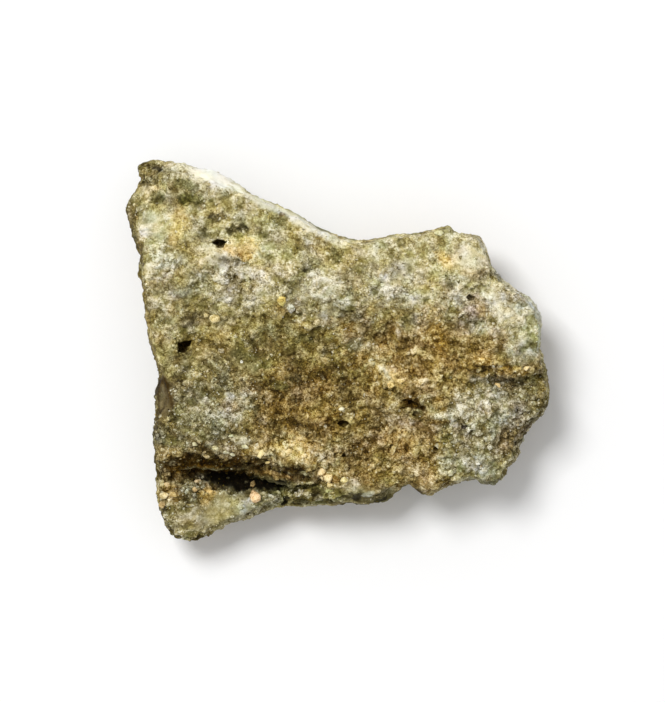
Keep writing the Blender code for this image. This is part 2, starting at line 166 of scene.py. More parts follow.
def fill_pit(bm, x, y, reach):
    """Lifts the floor of a plain pit to the ground around it, to be cut again more finely."""
    high = [v for v in bm.verts if v.co.z > UPPER * MM]
    away = [(math.hypot(v.co.x / MM - x, v.co.y / MM - y), v) for v in high]
    ring = [v.co for far, v in away if reach + 0.2 < far < reach + 0.7 and v.normal.z > 0.5]
    table = np.array([(1, c.x, c.y) for c in ring])
    fit = np.linalg.lstsq(table, np.array([c.z for c in ring]), rcond=None)[0]
    for far, v in away:
        share = min(1.0, max(0.0, (reach + 0.2 - far) / 0.2))
        v.co.z += share * (fit[0] + fit[1] * v.co.x + fit[2] * v.co.y - v.co.z)


stone = bmesh.new()
stone.from_mesh(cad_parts[NODE].data)
bmesh.ops.remove_doubles(stone, verts=stone.verts, dist=0.001 * MM)
print("joined plain stone:", len(stone.faces), "triangles")
turns = finer(stone)
for _, x, y, long, _, _, _ in BUBBLES:
    fill_pit(stone, x, y, long + 0.15)
for _ in range(3):
    bmesh.ops.smooth_vert(
        stone, verts=stone.verts, factor=0.5, use_axis_x=True, use_axis_y=True, use_axis_z=True
    )
stone.normal_update()
print("finer skin:", len(stone.faces), "triangles after", turns, "rounds")

# %% Read the skin as tables
# Both tables have a row for each vertex. The places are in millimetres from here on.
places = np.array([v.co for v in stone.verts]) / MM
normals = np.array([v.normal for v in stone.verts])


def eased(low, high, values):
    """0 below low, 1 above high, and a soft step between."""
    t = np.clip((values - low) / (high - low), 0, 1)
    return t * t * (3 - 2 * t)


facing_up = eased(0.15, 0.55, normals[:, 2])
facing_down = eased(0.2, 0.6, -normals[:, 2])
on_side = np.clip(1 - facing_up - facing_down, 0, 1)
print("vertices:", len(places), "of them on top:", int(facing_up.sum()))

# %% [markdown]
# ## Noise to shape and stain with
# Nothing on a stone has a straight edge or an even tone, so everything that follows is bent or
# broken by noise. Smooth noise gives swells and cloudy stains. A Voronoi pattern, in which
# every point belongs to its nearest seed, gives a bed of packed pebbles.

# %% Noise at every vertex
def noise_at(points, size, seed):
    """Smooth noise from about -1 to 1, in lumps of this size in millimetres."""
    shift = Vector((seed * 17.3, seed * 5.1, seed * 9.7))
    return np.array([noise.noise(Vector(p) / size + shift) for p in points])


def pebbles_at(points, size):
    """1 in the middle of each pebble of a packed bed, 0 where two of them meet."""
    found = [noise.voronoi(Vector(p) / size)[0] for p in points]
    return np.array([1 - min(1.0, d[0] / d[1]) for d in found])


STIR, STRETCH = np.array((12.99, 78.23, 37.72)), 43758.5  # they make a place into a chance number


def patches_at(points, size, seed):
    """A chance number from 0 to 1 that is the same all over each angular patch."""
    shift = Vector((seed * 3.1, seed * 7.7, seed * 1.9))
    seeds = np.array([noise.voronoi(Vector(p) / size + shift)[1][0] for p in points])
    mixed = np.sin(seeds @ STIR) * STRETCH
    return mixed - np.floor(mixed)


broad = noise_at(places, 2.6, 1)
middling = noise_at(places, 1.1, 2)
fine = noise_at(places, 0.5, 3)
finest = noise_at(places, 0.27, 4)
bed = pebbles_at(places, 0.55)
drawn_out = noise_at(places * (0.35, 1.0, 1.0), 0.75, 13)  # long from west to east, as melt ran
print("noise made for", len(places), "vertices")

# %% [markdown]
# ## The bent groove
# Along the south-west runs a dark groove under an overhanging brow, where the melt folded over
# itself. The plain solid has it as an even trench. The real lip and ledge sagged unevenly while
# the glass was soft, so the walls are moved here by slow noise. That comes before the stains
# are laid, so that each of them lies where it belongs.

# %% Bend the groove
x, y, z = places.T
in_groove = eased(-17.8, -15.5, x) * eased(1.6, -0.5, x) * eased(2.2, 3.0, z)
in_groove *= eased(-9.8, -10.9, y) * eased(-15.0, -13.4, y)
along = places * (1.0, 0.25, 0.25)
sag = 0.38 * noise_at(along, 2.3, 91) + 0.2 * noise_at(along, 0.9, 92)
sag -= 0.55 * np.exp(-(((x + 4.6) / 1.9) ** 2))
places[:, 1] += in_groove * sag
places[:, 2] += in_groove * (0.2 * noise_at(along, 1.6, 93) + 0.15 * fine)
print("the groove bends by up to", round(float(np.abs(in_groove * sag).max()), 2), "mm")

# %% [markdown]
# ## The map of the stains, and of painted light and shade
# What makes this stone itself is where its colours lie. Each stain is an oval with a place, a
# size, a turn and a strength, in millimetres from the middle of the stone, named for what it
# is. Noise bends and frays every oval's outline, so that none looks like an oval, and the
# stains are laid over each other in order, as a painter would: broad washes first, then small
# marks. Not every mark is a stain: some are painted shade, in the groove and its recess, under
# the brow, in the crease, between the crystals of the south lip and on sides that face the lamp,
# and some are painted light, on the lit north bevel and rim and as sheen along the crest. The
# result is kept on the mesh as a colour attribute called ground, which both the glass and the
# grains read later.

# %% The colours of the stone
PIGMENT = np.array((1.40, 1.46, 1.70))  # what the lamps and the warm gloss take away
GLOSS = 0.01  # what the gloss adds to every colour
WHITEST = 0.95  # no pigment sends back more of any colour than this


def linear(*rgb):
    """The pigment that looks like this 0 to 255 colour under the lamps, as a shader wants it."""
    c = np.array(rgb) / 255
    looks = np.where(c <= 0.04045, c / 12.92, ((c + 0.055) / 1.055) ** 2.4)
    pigment = PIGMENT * np.maximum(looks - GLOSS, looks * 0.15)
    return pigment * min(1.0, WHITEST / pigment.max())


OLIVE = linear(160, 149, 110)
PALE = linear(188, 180, 139)
SAGE = linear(118, 112, 89)
MINT = linear(204, 208, 186)
DEEP = linear(122, 109, 68)
BROWN = linear(125, 103, 64)
OCHRE = linear(163, 133, 82)
STRAW = linear(222, 190, 132)
RUST = linear(232, 202, 142)
FROST = linear(206, 201, 186)
CREAM = linear(234, 225, 190)
MOSS = linear(98, 95, 62)
SLATE = linear(80, 75, 60)
UMBER = linear(58, 45, 24)
# near black: painted shadow in the groove, its recess, the knob's hole, the lip's fissure and gaps
SHADOW_BLACK = linear(24, 17, 7)
# chalk white, also used as painted light on the north bevel and rim and painted sheen on the crest
CHALK = linear(232, 229, 212)
ORANGE = linear(216, 175, 100)
AMBER = linear(234, 204, 138)
ROSE = linear(182, 158, 132)
TAUPE = linear(196, 182, 144)
LIGHT_SAND = linear(250, 240, 204)  # what light tones whiten towards
print("the darkest pigment is", SHADOW_BLACK.round(3), "and the lightest", CHALK.round(3))

# %% Broad washes
# colour, what it is, x, y, half length, half width, turn in degrees, strength
WASHES = [
    (PALE, "north_field", -6.0, 11.0, 19.0, 6.0, -10, 0.85),
    (PALE, "north_east_field", 9.0, 8.0, 9.0, 5.0, 0, 0.6),
    (FROST, "pale_shoulder", 15.0, 6.5, 4.5, 4.5, -40, 0.6),
    (OLIVE, "north_middle", 1.0, 9.2, 6.0, 2.4, 0, 0.55),
    (OLIVE, "north_rim_field", -6.5, 12.4, 4.0, 1.4, -26, 0.5),
    (DEEP, "trough", -5.5, -0.8, 10.0, 4.4, 2, 0.95),
    (SAGE, "second_roll", -13.0, -6.6, 6.2, 4.4, 0, 0.9),
    (BROWN, "brown_field", -5.5, -5.8, 5.0, 4.6, 0, 0.95),
    (BROWN, "sandy_field", 2.0, -6.0, 8.0, 4.4, -4, 0.7),
    (OCHRE, "sandy_east", 10.0, -0.8, 8.0, 3.8, -14, 0.8),
    (OCHRE, "sandy_south", 6.0, -11.0, 8.0, 3.4, 0, 0.7),
    (SAGE, "south_east_lump", 15.6, -8.2, 6.6, 5.0, 50, 0.95),
    (SAGE, "lobe", -12.5, -16.0, 6.4, 3.6, 14, 0.9),
]
print(len(WASHES), "broad washes")

# %% Marks of the north-west corner
NORTH_WEST = [
    # painted light: the north bevel and its west end face the light and are painted near white
    (CHALK, "north_bevel", -12.2, 17.3, 2.7, 0.95, -28, 0.85),
    (CREAM, "pale_field", -15.6, 17.0, 2.6, 0.6, -14, 0.35),
    (CREAM, "pale_field_south", -17.2, 11.2, 1.6, 0.9, 0, 0.45),
    (CREAM, "knob_foot", -15.6, 18.0, 2.1, 0.8, -10, 0.8),
    (CREAM, "north_bevel_west", -15.6, 17.8, 2.4, 0.7, -12, 0.4),
    # painted light along the lit north rim
    (CHALK, "north_rim", -4.6, 13.3, 6.2, 0.45, -26, 0.7),
    (MOSS, "green_shade_middle", -15.2, 15.6, 2.6, 1.3, -10, 0.35),
    (AMBER, "warm_cloud", -16.1, 12.7, 1.3, 1.9, 0, 0.7),
    (MINT, "clear_window", -18.3, 12.4, 1.4, 1.6, 0, 0.6),
    (CREAM, "bubble_ridge", -12.6, 9.9, 2.0, 0.5, -12, 0.9),
    (AMBER, "rust_by_bubble", -9.5, 9.8, 1.8, 0.95, -10, 0.95),
    (RUST, "rust_drop", -9.0, 9.3, 0.6, 0.4, 0, 0.8),
    (SLATE, "grey_window", -12.0, 8.9, 1.3, 0.5, -5, 0.45),
    (SLATE, "grey_streak", -9.8, 8.4, 1.8, 0.4, -3, 0.6),
    (MOSS, "green_shade_north", -6.6, 11.2, 0.9, 1.5, 20, 0.45),
    # painted shade on the west face and the west rim, which face the lamp
    (DEEP, "west_face", -20.7, 12.4, 0.8, 3.8, 8, 0.8),
    (SAGE, "knob", -18.4, 17.7, 1.9, 1.3, 0, 0.55),
    (DEEP, "west_rim", -19.7, 7.8, 0.4, 2.6, 4, 0.7),
]
print(len(NORTH_WEST), "marks")

# %% Marks of the first roll and the trough behind it
FIRST_ROLL = [
    (FROST, "grey_corner", -17.8, 8.4, 1.7, 2.0, 0, 0.85),
    (CREAM, "white_edge", -19.0, 7.8, 0.4, 0.9, 0, 0.9),
    # the white along the crest is frost with painted sheen, where the rolled crest faces the light
    (FROST, "crest_west_glow", -10.5, 7.0, 4.2, 1.6, -4, 0.7),
    (FROST, "crest_west", -10.5, 7.6, 2.4, 0.8, -4, 0.8),
    (CREAM, "crest_lump", -7.3, 7.4, 0.8, 0.7, 0, 0.7),
    (PALE, "crest_warm", -13.8, 7.2, 1.2, 1.4, 0, 0.6),
    (SLATE, "crest_gap", -9.2, 6.9, 1.6, 0.3, 0, 0.5),
    (FROST, "crest_middle_glow", -2.0, 6.2, 4.0, 1.7, -5, 0.65),
    (FROST, "crest_east_glow", 5.4, 6.6, 3.6, 1.6, 0, 0.65),
    (CREAM, "white_cloud", -1.8, 6.2, 2.3, 1.4, -8, 0.95),
    (CREAM, "white_glow_east", 4.7, 6.0, 0.8, 0.6, 0, 0.8),
    (PALE, "yellow_window", -0.9, 3.7, 1.0, 0.7, 0, 0.8),
    (MOSS, "smudge_west", -2.9, 8.6, 1.4, 0.7, 20, 0.75),
    (MOSS, "smudge_east", -0.2, 9.5, 0.9, 0.8, 30, 0.7),
    (SLATE, "blue_grey_window", 6.1, 7.8, 1.6, 1.1, 30, 0.5),
    (CREAM, "cream_patch", 3.0, 9.7, 0.7, 0.4, 0, 0.8),
    (CREAM, "cream_chip", 8.5, 8.0, 0.7, 0.4, 0, 0.8),
    (SLATE, "dark_under_crest", 1.3, 3.6, 1.2, 0.6, 0, 0.6),
    (SLATE, "smoke_stain", -14.7, 2.8, 1.4, 0.9, 40, 0.5),
    (AMBER, "warm_tint_west", -16.6, 4.0, 0.5, 0.7, 0, 0.5),
    (AMBER, "warm_tint_middle", -12.6, 2.2, 1.6, 0.9, -10, 0.4),
    (OLIVE, "west_meadow", -17.4, -0.5, 1.8, 3.4, 0, 0.7),
    (DEEP, "trough_west", -10.8, 0.8, 3.2, 1.4, 0, 0.55),
    (MOSS, "dark_glass", -8.6, -0.8, 2.2, 1.0, -10, 0.6),
    (MOSS, "green_window", 1.7, 0.5, 0.8, 0.7, 0, 0.4),
    (MOSS, "green_smudge", 7.0, 2.7, 1.1, 0.9, 0, 0.6),
    (SLATE, "dark_crumbs_east", 7.9, 3.8, 0.9, 0.6, 0, 0.5),
    (MOSS, "green_smudge_west", -3.0, 1.4, 0.8, 0.5, 0, 0.5),
]
print(len(FIRST_ROLL), "marks")

# %% Marks of the second roll, the sandy middle and the groove
SECOND_ROLL = [
    # painted shade over the second roll, darkest on its low south side
    (MOSS, "second_roll_shade", -12.8, -6.6, 4.4, 3.2, 0, 0.5),
    (SLATE, "second_roll_low_shade", -15.4, -9.0, 3.2, 1.6, -5, 0.45),
    (FROST, "second_roll_frost", -12.2, -6.0, 3.2, 2.4, 0, 0.35),
    (CREAM, "white_spot", -9.6, -9.0, 0.9, 0.7, 20, 0.95),
    (CREAM, "pale_grain_row", -11.2, -10.0, 1.3, 0.35, -8, 0.85),
    # the chip is dark glass, painted darker still as painted shade where it faces the lamp
    (UMBER, "west_chip", -17.3, -4.5, 1.0, 2.4, 0, 1.0),
    (OLIVE, "west_chip_glow", -17.3, -5.0, 0.5, 1.4, 0, 0.25),
    (UMBER, "dark_brown_nook", -6.3, -3.6, 2.2, 1.0, 0, 0.5),
    (UMBER, "dark_brown_streak", -4.6, -7.4, 1.8, 0.5, -8, 0.5),
    (UMBER, "dark_nook", -1.3, -2.0, 1.2, 0.6, 0, 0.5),
    (STRAW, "sandy_lip", -4.4, -10.1, 3.8, 1.2, -3, 0.85),
    (CREAM, "sandy_lip_glow", -4.6, -10.3, 2.4, 0.7, -3, 0.3),
    # painted shade and dirt: the brow darkens towards the groove, and the groove is painted shadow under it
    (BROWN, "brow_top", -13.0, -10.4, 5.8, 1.0, 0, 0.65),
    (UMBER, "brow", -13.0, -11.3, 5.6, 1.05, 0, 1.0),
    (UMBER, "brow_middle", -7.4, -11.9, 2.8, 0.8, -5, 0.85),
    (UMBER, "groove_end", -16.2, -12.4, 2.2, 0.95, -5, 0.9),
    (SHADOW_BLACK, "groove_west", -12.6, -12.5, 1.6, 0.6, 0, 0.6),
    (SHADOW_BLACK, "groove", -9.0, -13.1, 4.4, 1.0, -6, 1.0),
    (SHADOW_BLACK, "groove_low_end", -6.2, -13.6, 2.0, 0.6, 0, 0.9),
    (BROWN, "ledge", -6.6, -12.5, 2.2, 0.45, -6, 0.8),
    (PALE, "lobe_light", -12.5, -16.4, 4.0, 1.7, 14, 0.55),
    (MINT, "lobe_mint", -9.0, -15.5, 1.6, 0.6, 15, 0.5),
    (RUST, "lobe_stain", -12.9, -14.5, 0.8, 1.1, -30, 0.75),
    (OCHRE, "lobe_west", -17.0, -14.4, 1.2, 0.9, 0, 0.6),
    (CREAM, "tan_lump", -1.0, -12.6, 0.9, 0.6, -20, 0.85),
    (MOSS, "south_lip", -3.2, -14.4, 3.4, 1.1, 0, 1.0),
    (MOSS, "green_lip", -0.9, -14.9, 1.8, 0.7, 0, 0.9),
    (PALE, "pale_lip", 1.3, -13.4, 1.3, 0.6, 0, 0.6),
    (MOSS, "south_facets", 3.2, -14.6, 2.7, 0.9, 0, 0.95),
    (FROST, "crystal_streaks", -6.7, -15.0, 0.8, 0.5, 30, 0.45),
]
print(len(SECOND_ROLL), "marks")

# %% Marks of the east
EAST = [
    (TAUPE, "round_quartz", 13.4, 9.0, 1.9, 1.5, 0, 0.9),
    (CREAM, "round_quartz_rim", 13.9, 10.2, 1.2, 0.4, 0, 0.7),
    (AMBER, "rust_on_crest", 10.9, 9.1, 1.2, 0.9, -20, 0.9),
    (BROWN, "brown_on_crest", 14.0, 7.7, 0.8, 0.45, 0, 0.7),
    (CREAM, "white_pebble", 12.7, 7.3, 0.6, 0.5, 0, 0.85),
    (SLATE, "grey_by_pebble", 11.2, 7.3, 0.8, 0.7, 0, 0.5),
    (CREAM, "pale_ledge", 15.3, 5.4, 1.4, 0.9, -10, 0.9),
    (CREAM, "white_shoulder", 17.2, 3.7, 1.8, 1.1, -20, 0.95),
    (MINT, "mint_rim", 19.4, 2.4, 1.6, 2.8, -15, 1.0),
    (ROSE, "pink_tint", 13.6, 4.6, 1.8, 1.2, -20, 0.65),
    (ROSE, "pink_tint_east", 16.0, 1.6, 1.2, 0.7, -20, 0.5),
    (SLATE, "valley", 13.0, 2.9, 1.8, 0.9, 0, 0.5),
    (FROST, "valley_glints", 13.7, 2.1, 1.0, 0.6, 0, 0.5),
    (STRAW, "yellow_tint", 9.2, 3.8, 1.2, 0.9, 0, 0.6),
    (RUST, "terrace", 17.0, -2.0, 1.9, 0.5, -6, 0.6),
    (UMBER, "terrace_west", 15.2, -1.6, 1.2, 0.6, 0, 0.6),
    # painted shade in the crease under the terrace's overhanging lip
    (UMBER, "crease_west", 14.5, -2.9, 1.2, 0.3, 0, 0.6),
    (SLATE, "crease", 18.2, -3.1, 2.6, 0.5, -4, 0.5),
    (FROST, "south_east_frost", 13.8, -6.4, 3.8, 2.6, 35, 0.7),
    (FROST, "south_east_glaze", 17.0, -8.5, 3.5, 3.5, 0, 0.2),
    (STRAW, "south_gold", 8.2, -11.6, 1.6, 1.6, 0, 0.35),
    (SLATE, "south_east_shade", 17.0, -4.9, 2.4, 1.0, 10, 0.4),
    # painted shade on the south-east flank, which faces away from the light
    (BROWN, "flank", 17.9, -8.0, 1.9, 1.3, 50, 0.6),
    (MINT, "south_east_tint", 14.0, -11.5, 2.6, 1.6, 20, 0.5),
    (MOSS, "south_east_tip", 15.8, -12.9, 1.4, 0.6, 0, 0.6),
    (FROST, "white_patch_south", 10.7, -11.5, 1.0, 0.8, -35, 0.85),
    (STRAW, "yellow_lump", 10.2, -5.3, 0.5, 0.9, 0, 0.9),
    (CREAM, "yellow_lump_foot", 10.2, -6.4, 0.8, 0.4, 0, 0.7),
    (UMBER, "lump_shade", 9.5, -6.9, 1.5, 0.3, 0, 0.8),
    (UMBER, "pit_rim", 7.5, -5.3, 1.0, 0.6, -10, 0.75),
    (STRAW, "pale_sand_east", 5.5, -2.5, 2.6, 1.6, -10, 0.4),
]
print(len(EAST), "marks")

# %% [markdown]
# ## Crisp marks
# Where the melt took in a lump of other glass, or a crust flaked off, the border is sharp. These
# marks have the same rows as the stains, lie over all of them and keep a hard edge. The dark
# green and slate ones are clear glass as well, so they are noted down as lumps, and stay smooth
# later on. Many of the near-black and dark brown ones, by the knob, in the groove and its recess,
# in the crease, under the terrace, in the south lip and by the pits, are painted shade, and the
# white clumps along the crest carry painted sheen.

# %% Crisp marks of the north-west corner
CRISP_CORNER = [
    (CREAM, "white_streak", -18.5, 12.35, 1.2, 0.3, 0, 0.9),
    (CREAM, "white_streak_low", -18.3, 11.8, 1.0, 0.18, 5, 0.7),
    (MOSS, "dark_blotch_west", -18.0, 15.25, 0.8, 0.7, 15, 0.95),
    (MOSS, "dark_blotch_north", -15.1, 16.5, 1.3, 0.5, -12, 0.95),
    (MOSS, "dark_blotch_middle", -15.35, 15.1, 0.75, 0.65, 0, 0.95),
    (MOSS, "dark_blotch_east", -14.0, 15.15, 0.85, 0.6, -10, 0.95),
    (MOSS, "dark_drop", -12.4, 15.1, 0.35, 0.3, 0, 0.8),
    (MOSS, "green_blotch_east", -11.2, 15.3, 0.7, 0.4, 0, 0.6),
    (SLATE, "dark_crumbs", -11.9, 13.5, 0.9, 0.5, 10, 0.75),
    (SLATE, "dark_crumbs_east", -9.8, 13.3, 0.7, 0.45, 10, 0.7),
    (SLATE, "charcoal_blob", -10.1, 12.2, 1.15, 0.5, 8, 0.95),
    (MOSS, "grey_green_lump", -13.5, 11.7, 0.65, 0.55, 0, 0.5),
    (MOSS, "green_lump_north", -7.1, 11.6, 1.0, 0.6, -20, 0.6),
    (MOSS, "green_lump_rim", -5.8, 12.4, 0.8, 0.35, -20, 0.5),
    (BROWN, "rim_nick", -5.4, 13.4, 0.4, 0.25, 0, 0.8),
    # painted shade: the knob faces away from the light, and the notch behind it lies in shade
    (UMBER, "knob_streak", -18.4, 18.6, 1.3, 0.22, -8, 0.8),
    (SHADOW_BLACK, "knob_hole", -17.9, 18.15, 0.7, 0.28, -15, 0.85),
    (UMBER, "knob_shade", -18.9, 17.5, 0.9, 0.25, 25, 0.6),
    (UMBER, "knob_notch_shade", -19.4, 16.9, 0.5, 0.9, 20, 0.5),
]
print(len(CRISP_CORNER), "crisp marks")

# %% Crisp marks of the trough, the groove and the south lip
CRISP_SOUTH = [
    (MOSS, "trough_lump_west", -9.4, -0.4, 1.4, 0.6, -10, 0.5),
    (MOSS, "trough_lump_middle", -7.4, -1.3, 0.9, 0.5, 10, 0.6),
    (MOSS, "trough_lump_east", -3.2, 1.2, 0.8, 0.5, 0, 0.6),
    (MOSS, "trough_lump_south", -5.8, -3.4, 1.0, 0.5, 0, 0.6),
    (SLATE, "trough_shadow", -4.4, -2.6, 0.8, 0.4, 0, 0.6),
    (MOSS, "green_lump", 1.7, 0.5, 0.75, 0.6, 0, 0.6),
    (MOSS, "green_lump_east", 7.0, 2.7, 0.9, 0.7, 0, 0.5),
    # painted shade in the recess under the lip and along the rim of the groove
    (UMBER, "recess", -4.9, -12.0, 2.6, 0.22, 3, 0.95),
    (SHADOW_BLACK, "recess_dark", -6.4, -12.0, 1.8, 0.22, -6, 0.8),
    (UMBER, "groove_rim", -14.4, -11.9, 2.8, 0.35, 0, 0.95),
    (UMBER, "groove_rim_east", -10.0, -12.3, 2.0, 0.3, -8, 0.9),
    (UMBER, "ledge_shade", -3.8, -12.7, 2.0, 0.5, -5, 0.85),
    (OCHRE, "ledge_light", -6.2, -12.3, 1.5, 0.3, -16, 0.6),
    (BROWN, "ledge_light_west", -8.0, -12.2, 1.2, 0.2, -6, 0.5),
    (UMBER, "lip_shade", -3.6, -14.5, 1.7, 0.8, 0, 0.65),
    (UMBER, "facets_shade", 3.2, -14.6, 2.4, 0.7, 0, 0.5),
    # painted shadow: the core of the groove, under the brow
    (SHADOW_BLACK, "groove_core", -9.2, -13.0, 3.8, 0.75, -8, 1.0),
    # painted shade in the lip's fissure and beside the south facets, and a painted highlight on one facet
    (SHADOW_BLACK, "lip_fissure", -5.3, -14.9, 0.35, 0.6, -10, 0.95),
    (SHADOW_BLACK, "facet_shade_west", 2.0, -14.7, 0.5, 0.35, 20, 0.7),
    (SHADOW_BLACK, "facet_shade_east", 4.2, -14.9, 0.6, 0.3, 10, 0.7),
    (MINT, "facet_highlight", 3.1, -14.2, 0.6, 0.25, 20, 0.6),
    # painted shade along the crease and in the gaps under the terrace
    (UMBER, "crease_line", 18.4, -3.15, 1.6, 0.14, -5, 0.45),
    (UMBER, "terrace_gap", 15.9, -1.5, 0.9, 0.2, -10, 0.7),
    (UMBER, "terrace_gap_east", 18.4, -2.4, 0.7, 0.18, 5, 0.7),
    # painted shadow cast by a lump
    (BROWN, "lump_shadow", 9.8, -7.0, 1.4, 0.25, 4, 0.8),
    # the gaps between the lip's pale crystals are painted shade
    (FROST, "lip_crystal_west", -3.9, -14.2, 0.45, 0.25, 30, 0.6),
    (SHADOW_BLACK, "lip_gap_west", -3.4, -14.8, 0.42, 0.42, 0, 0.5),
    (FROST, "lip_crystal_middle", -3.0, -14.4, 0.35, 0.25, -20, 0.6),
    (SHADOW_BLACK, "lip_gap_middle", -2.3, -14.3, 0.42, 0.49, 20, 0.5),
    (FROST, "lip_crystal_east", -1.9, -14.7, 0.4, 0.3, 10, 0.6),
    (SHADOW_BLACK, "lip_gap_east", -1.2, -15.1, 0.56, 0.35, 0, 0.5),
    (PALE, "lobe_glow", -11.6, -16.0, 2.0, 1.0, 20, 0.5),
]
print(len(CRISP_SOUTH), "crisp marks")

# %% Crisp marks of the two rolls and the east shoulder
CRISP_ROLLS = [
    (MOSS, "roll_gap_west", -16.9, -8.8, 0.8, 0.5, 0, 0.8),
    (MOSS, "roll_gap_middle", -14.2, -8.3, 1.1, 0.6, 0, 0.7),
    (MOSS, "roll_gap_east", -11.9, -7.6, 0.8, 0.5, 20, 0.6),
    (MOSS, "roll_gap_north", -14.0, -5.2, 1.0, 0.5, 0, 0.6),
    (CHALK, "roll_crumb_north", -11.0, -4.6, 0.9, 0.5, 0, 0.4),
    (CHALK, "roll_crumb_middle", -11.8, -6.3, 0.8, 0.45, 10, 0.4),
    (CHALK, "roll_crumb_east", -9.9, -6.6, 0.6, 0.5, 0, 0.45),
    (CHALK, "roll_crumb_low", -12.6, -9.6, 0.6, 0.35, 0, 0.5),
    # the white clumps along the crest are frost with painted sheen, where the rolled crest faces the light
    (CHALK, "crest_clump_corner", -17.3, 8.9, 1.2, 1.0, 0, 0.5),
    (CHALK, "crest_clump_corner_low", -18.0, 7.4, 0.8, 0.5, 0, 0.5),
    (CHALK, "crest_clump_west", -11.3, 8.0, 1.0, 0.4, -5, 0.65),
    (CHALK, "crest_clump", -8.6, 7.7, 1.5, 0.5, -5, 0.7),
    (CHALK, "crest_clump_low", -11.4, 5.5, 1.5, 0.5, -5, 0.6),
    (CHALK, "crest_clump_middle", -7.3, 5.9, 1.2, 0.5, 0, 0.6),
    (CHALK, "crest_clump_white", -1.8, 6.3, 1.8, 0.95, -8, 0.95),
    (CHALK, "crest_clump_east", 4.7, 6.0, 0.9, 0.6, 0, 0.6),
    (SLATE, "crest_window", -10.4, 8.9, 1.3, 0.4, -4, 0.7),
    (SLATE, "crest_window_east", -3.2, 8.6, 0.9, 0.7, 60, 0.7),
    (SLATE, "smoke", -14.9, 2.9, 0.9, 0.5, 45, 0.75),
    (TAUPE, "round_quartz_top", 13.3, 8.9, 1.7, 1.35, 0, 0.95),
    (FROST, "round_quartz_light", 14.0, 10.1, 1.1, 0.3, -30, 0.7),
    (CHALK, "shoulder_chalk_west", 15.4, 5.6, 1.3, 0.7, -10, 0.85),
    (CHALK, "shoulder_chalk_east", 17.2, 3.7, 1.3, 0.8, -20, 0.95),
    (MINT, "mint_crisp", 18.9, 4.2, 1.3, 1.0, -40, 0.8),
    (MINT, "mint_crisp_low", 19.5, 1.8, 1.2, 1.8, -10, 0.85),
]
print(len(CRISP_ROLLS), "crisp marks")

# %% Crisp marks of rust, pits and single light lumps
CRISP_SPOTS = [
    (AMBER, "rust_field", -9.4, 10.1, 1.9, 1.1, -5, 0.75),
    (ORANGE, "rust_core", -9.1, 9.3, 0.8, 0.5, -10, 0.7),
    (CREAM, "bubble_lip", -11.9, 9.9, 1.7, 0.35, -25, 0.6),
    (CREAM, "bubble_lip_east", -10.4, 11.0, 0.6, 0.3, 0, 0.5),
    (ORANGE, "rust_core_east", 10.7, 9.2, 0.7, 0.5, 0, 0.6),
    (ORANGE, "terrace_orange", 17.3, -1.9, 1.4, 0.35, -8, 0.85),
    (ORANGE, "terrace_orange_west", 14.4, -0.9, 1.1, 0.4, -20, 0.6),
    (ORANGE, "lip_orange", -6.2, -9.9, 1.6, 0.6, 0, 0.55),
    (ORANGE, "lip_orange_east", -2.8, -10.8, 1.4, 0.5, -10, 0.6),
    (ORANGE, "lobe_orange", -12.9, -14.2, 0.7, 0.6, -30, 0.5),
    (UMBER, "pit_shade", 7.6, -5.4, 1.3, 0.6, -15, 0.8),
    (MOSS, "green_pit_shade", 7.8, -6.3, 0.6, 0.5, 0, 0.7),
    (CREAM, "shoulder_light_west", 15.3, 5.5, 1.0, 0.55, -10, 0.9),
    (CREAM, "shoulder_light_east", 17.2, 3.5, 1.3, 0.7, -20, 0.95),
    (CREAM, "spot_light", -9.6, -8.9, 0.6, 0.5, 20, 0.9),
    (STRAW, "heap_light", -0.9, -12.6, 0.9, 0.5, -20, 0.9),
    (AMBER, "bar_light", 5.0, -2.5, 1.4, 0.45, -48, 0.9),
    (CREAM, "bar_core", 4.7, -2.2, 0.8, 0.3, -48, 0.8),
]
print(len(CRISP_SPOTS), "crisp marks")

# %% Lay the stains and the painted light and shade over each other
MARKS = NORTH_WEST + FIRST_ROLL + SECOND_ROLL + EAST
CRISP = CRISP_CORNER + CRISP_SOUTH + CRISP_ROLLS + CRISP_SPOTS
SOFTNESS = [(0.55, WASHES), (0.4, MARKS), (0.1, CRISP)]  # of the edges, as a share of the size
bend_x = 0.9 * noise_at(places, 2.4, 5) + 0.3 * noise_at(places, 0.8, 6)
bend_y = 0.9 * noise_at(places, 2.4, 7) + 0.3 * noise_at(places, 0.8, 8)
ragged = 0.55 * noise_at(places, 0.9, 9) + 0.5 * fine + 0.45 * finest


def from_middle(dx, dy, long, wide, degrees):
    """How far from the middle of a turned oval: 1 is its outline."""
    c, s = cosine_and_sine(degrees)
    return np.hypot((dx * c + dy * s) / long, (dy * c - dx * s) / wide)


def cover(stain, soft):
    """How much of a mark each vertex has: 1 inside, 0 outside, with a bent and frayed edge."""
    _, _, x, y, long, wide, degrees, strength = stain
    loose = min(1.0, 0.15 + 0.45 * wide)  # a small mark bends less
    dx, dy = places[:, 0] + loose * bend_x - x, places[:, 1] + loose * bend_y - y
    away = from_middle(dx, dy, long, wide, degrees)
    return strength * eased(1.0 + soft, 1.0 - soft, away + 0.45 * ragged)


ground = np.tile(OLIVE, (len(places), 1))
lumps = np.zeros(len(places))  # of clear dark glass
shares = {}  # how much of each pigment shows at each vertex
for softness, stains in SOFTNESS:
    for stain in stains:
        pigment = stain[0]
        share = cover(stain, softness) * (1 - facing_down)
        if stains is CRISP and (pigment is MOSS or pigment is SLATE):
            lumps = np.maximum(lumps, share)
        ground += (pigment - ground) * share[:, None]
        for other in shares:
            shares[other] *= 1 - share
        key = pigment.tobytes()
        shares[key] = shares.get(key, np.zeros(len(places))) + share


def share_of(*pigments):
    """How much of the ground at each vertex is made of these pigments."""
    return np.clip(sum(shares[p.tobytes()] for p in pigments), 0, 1)


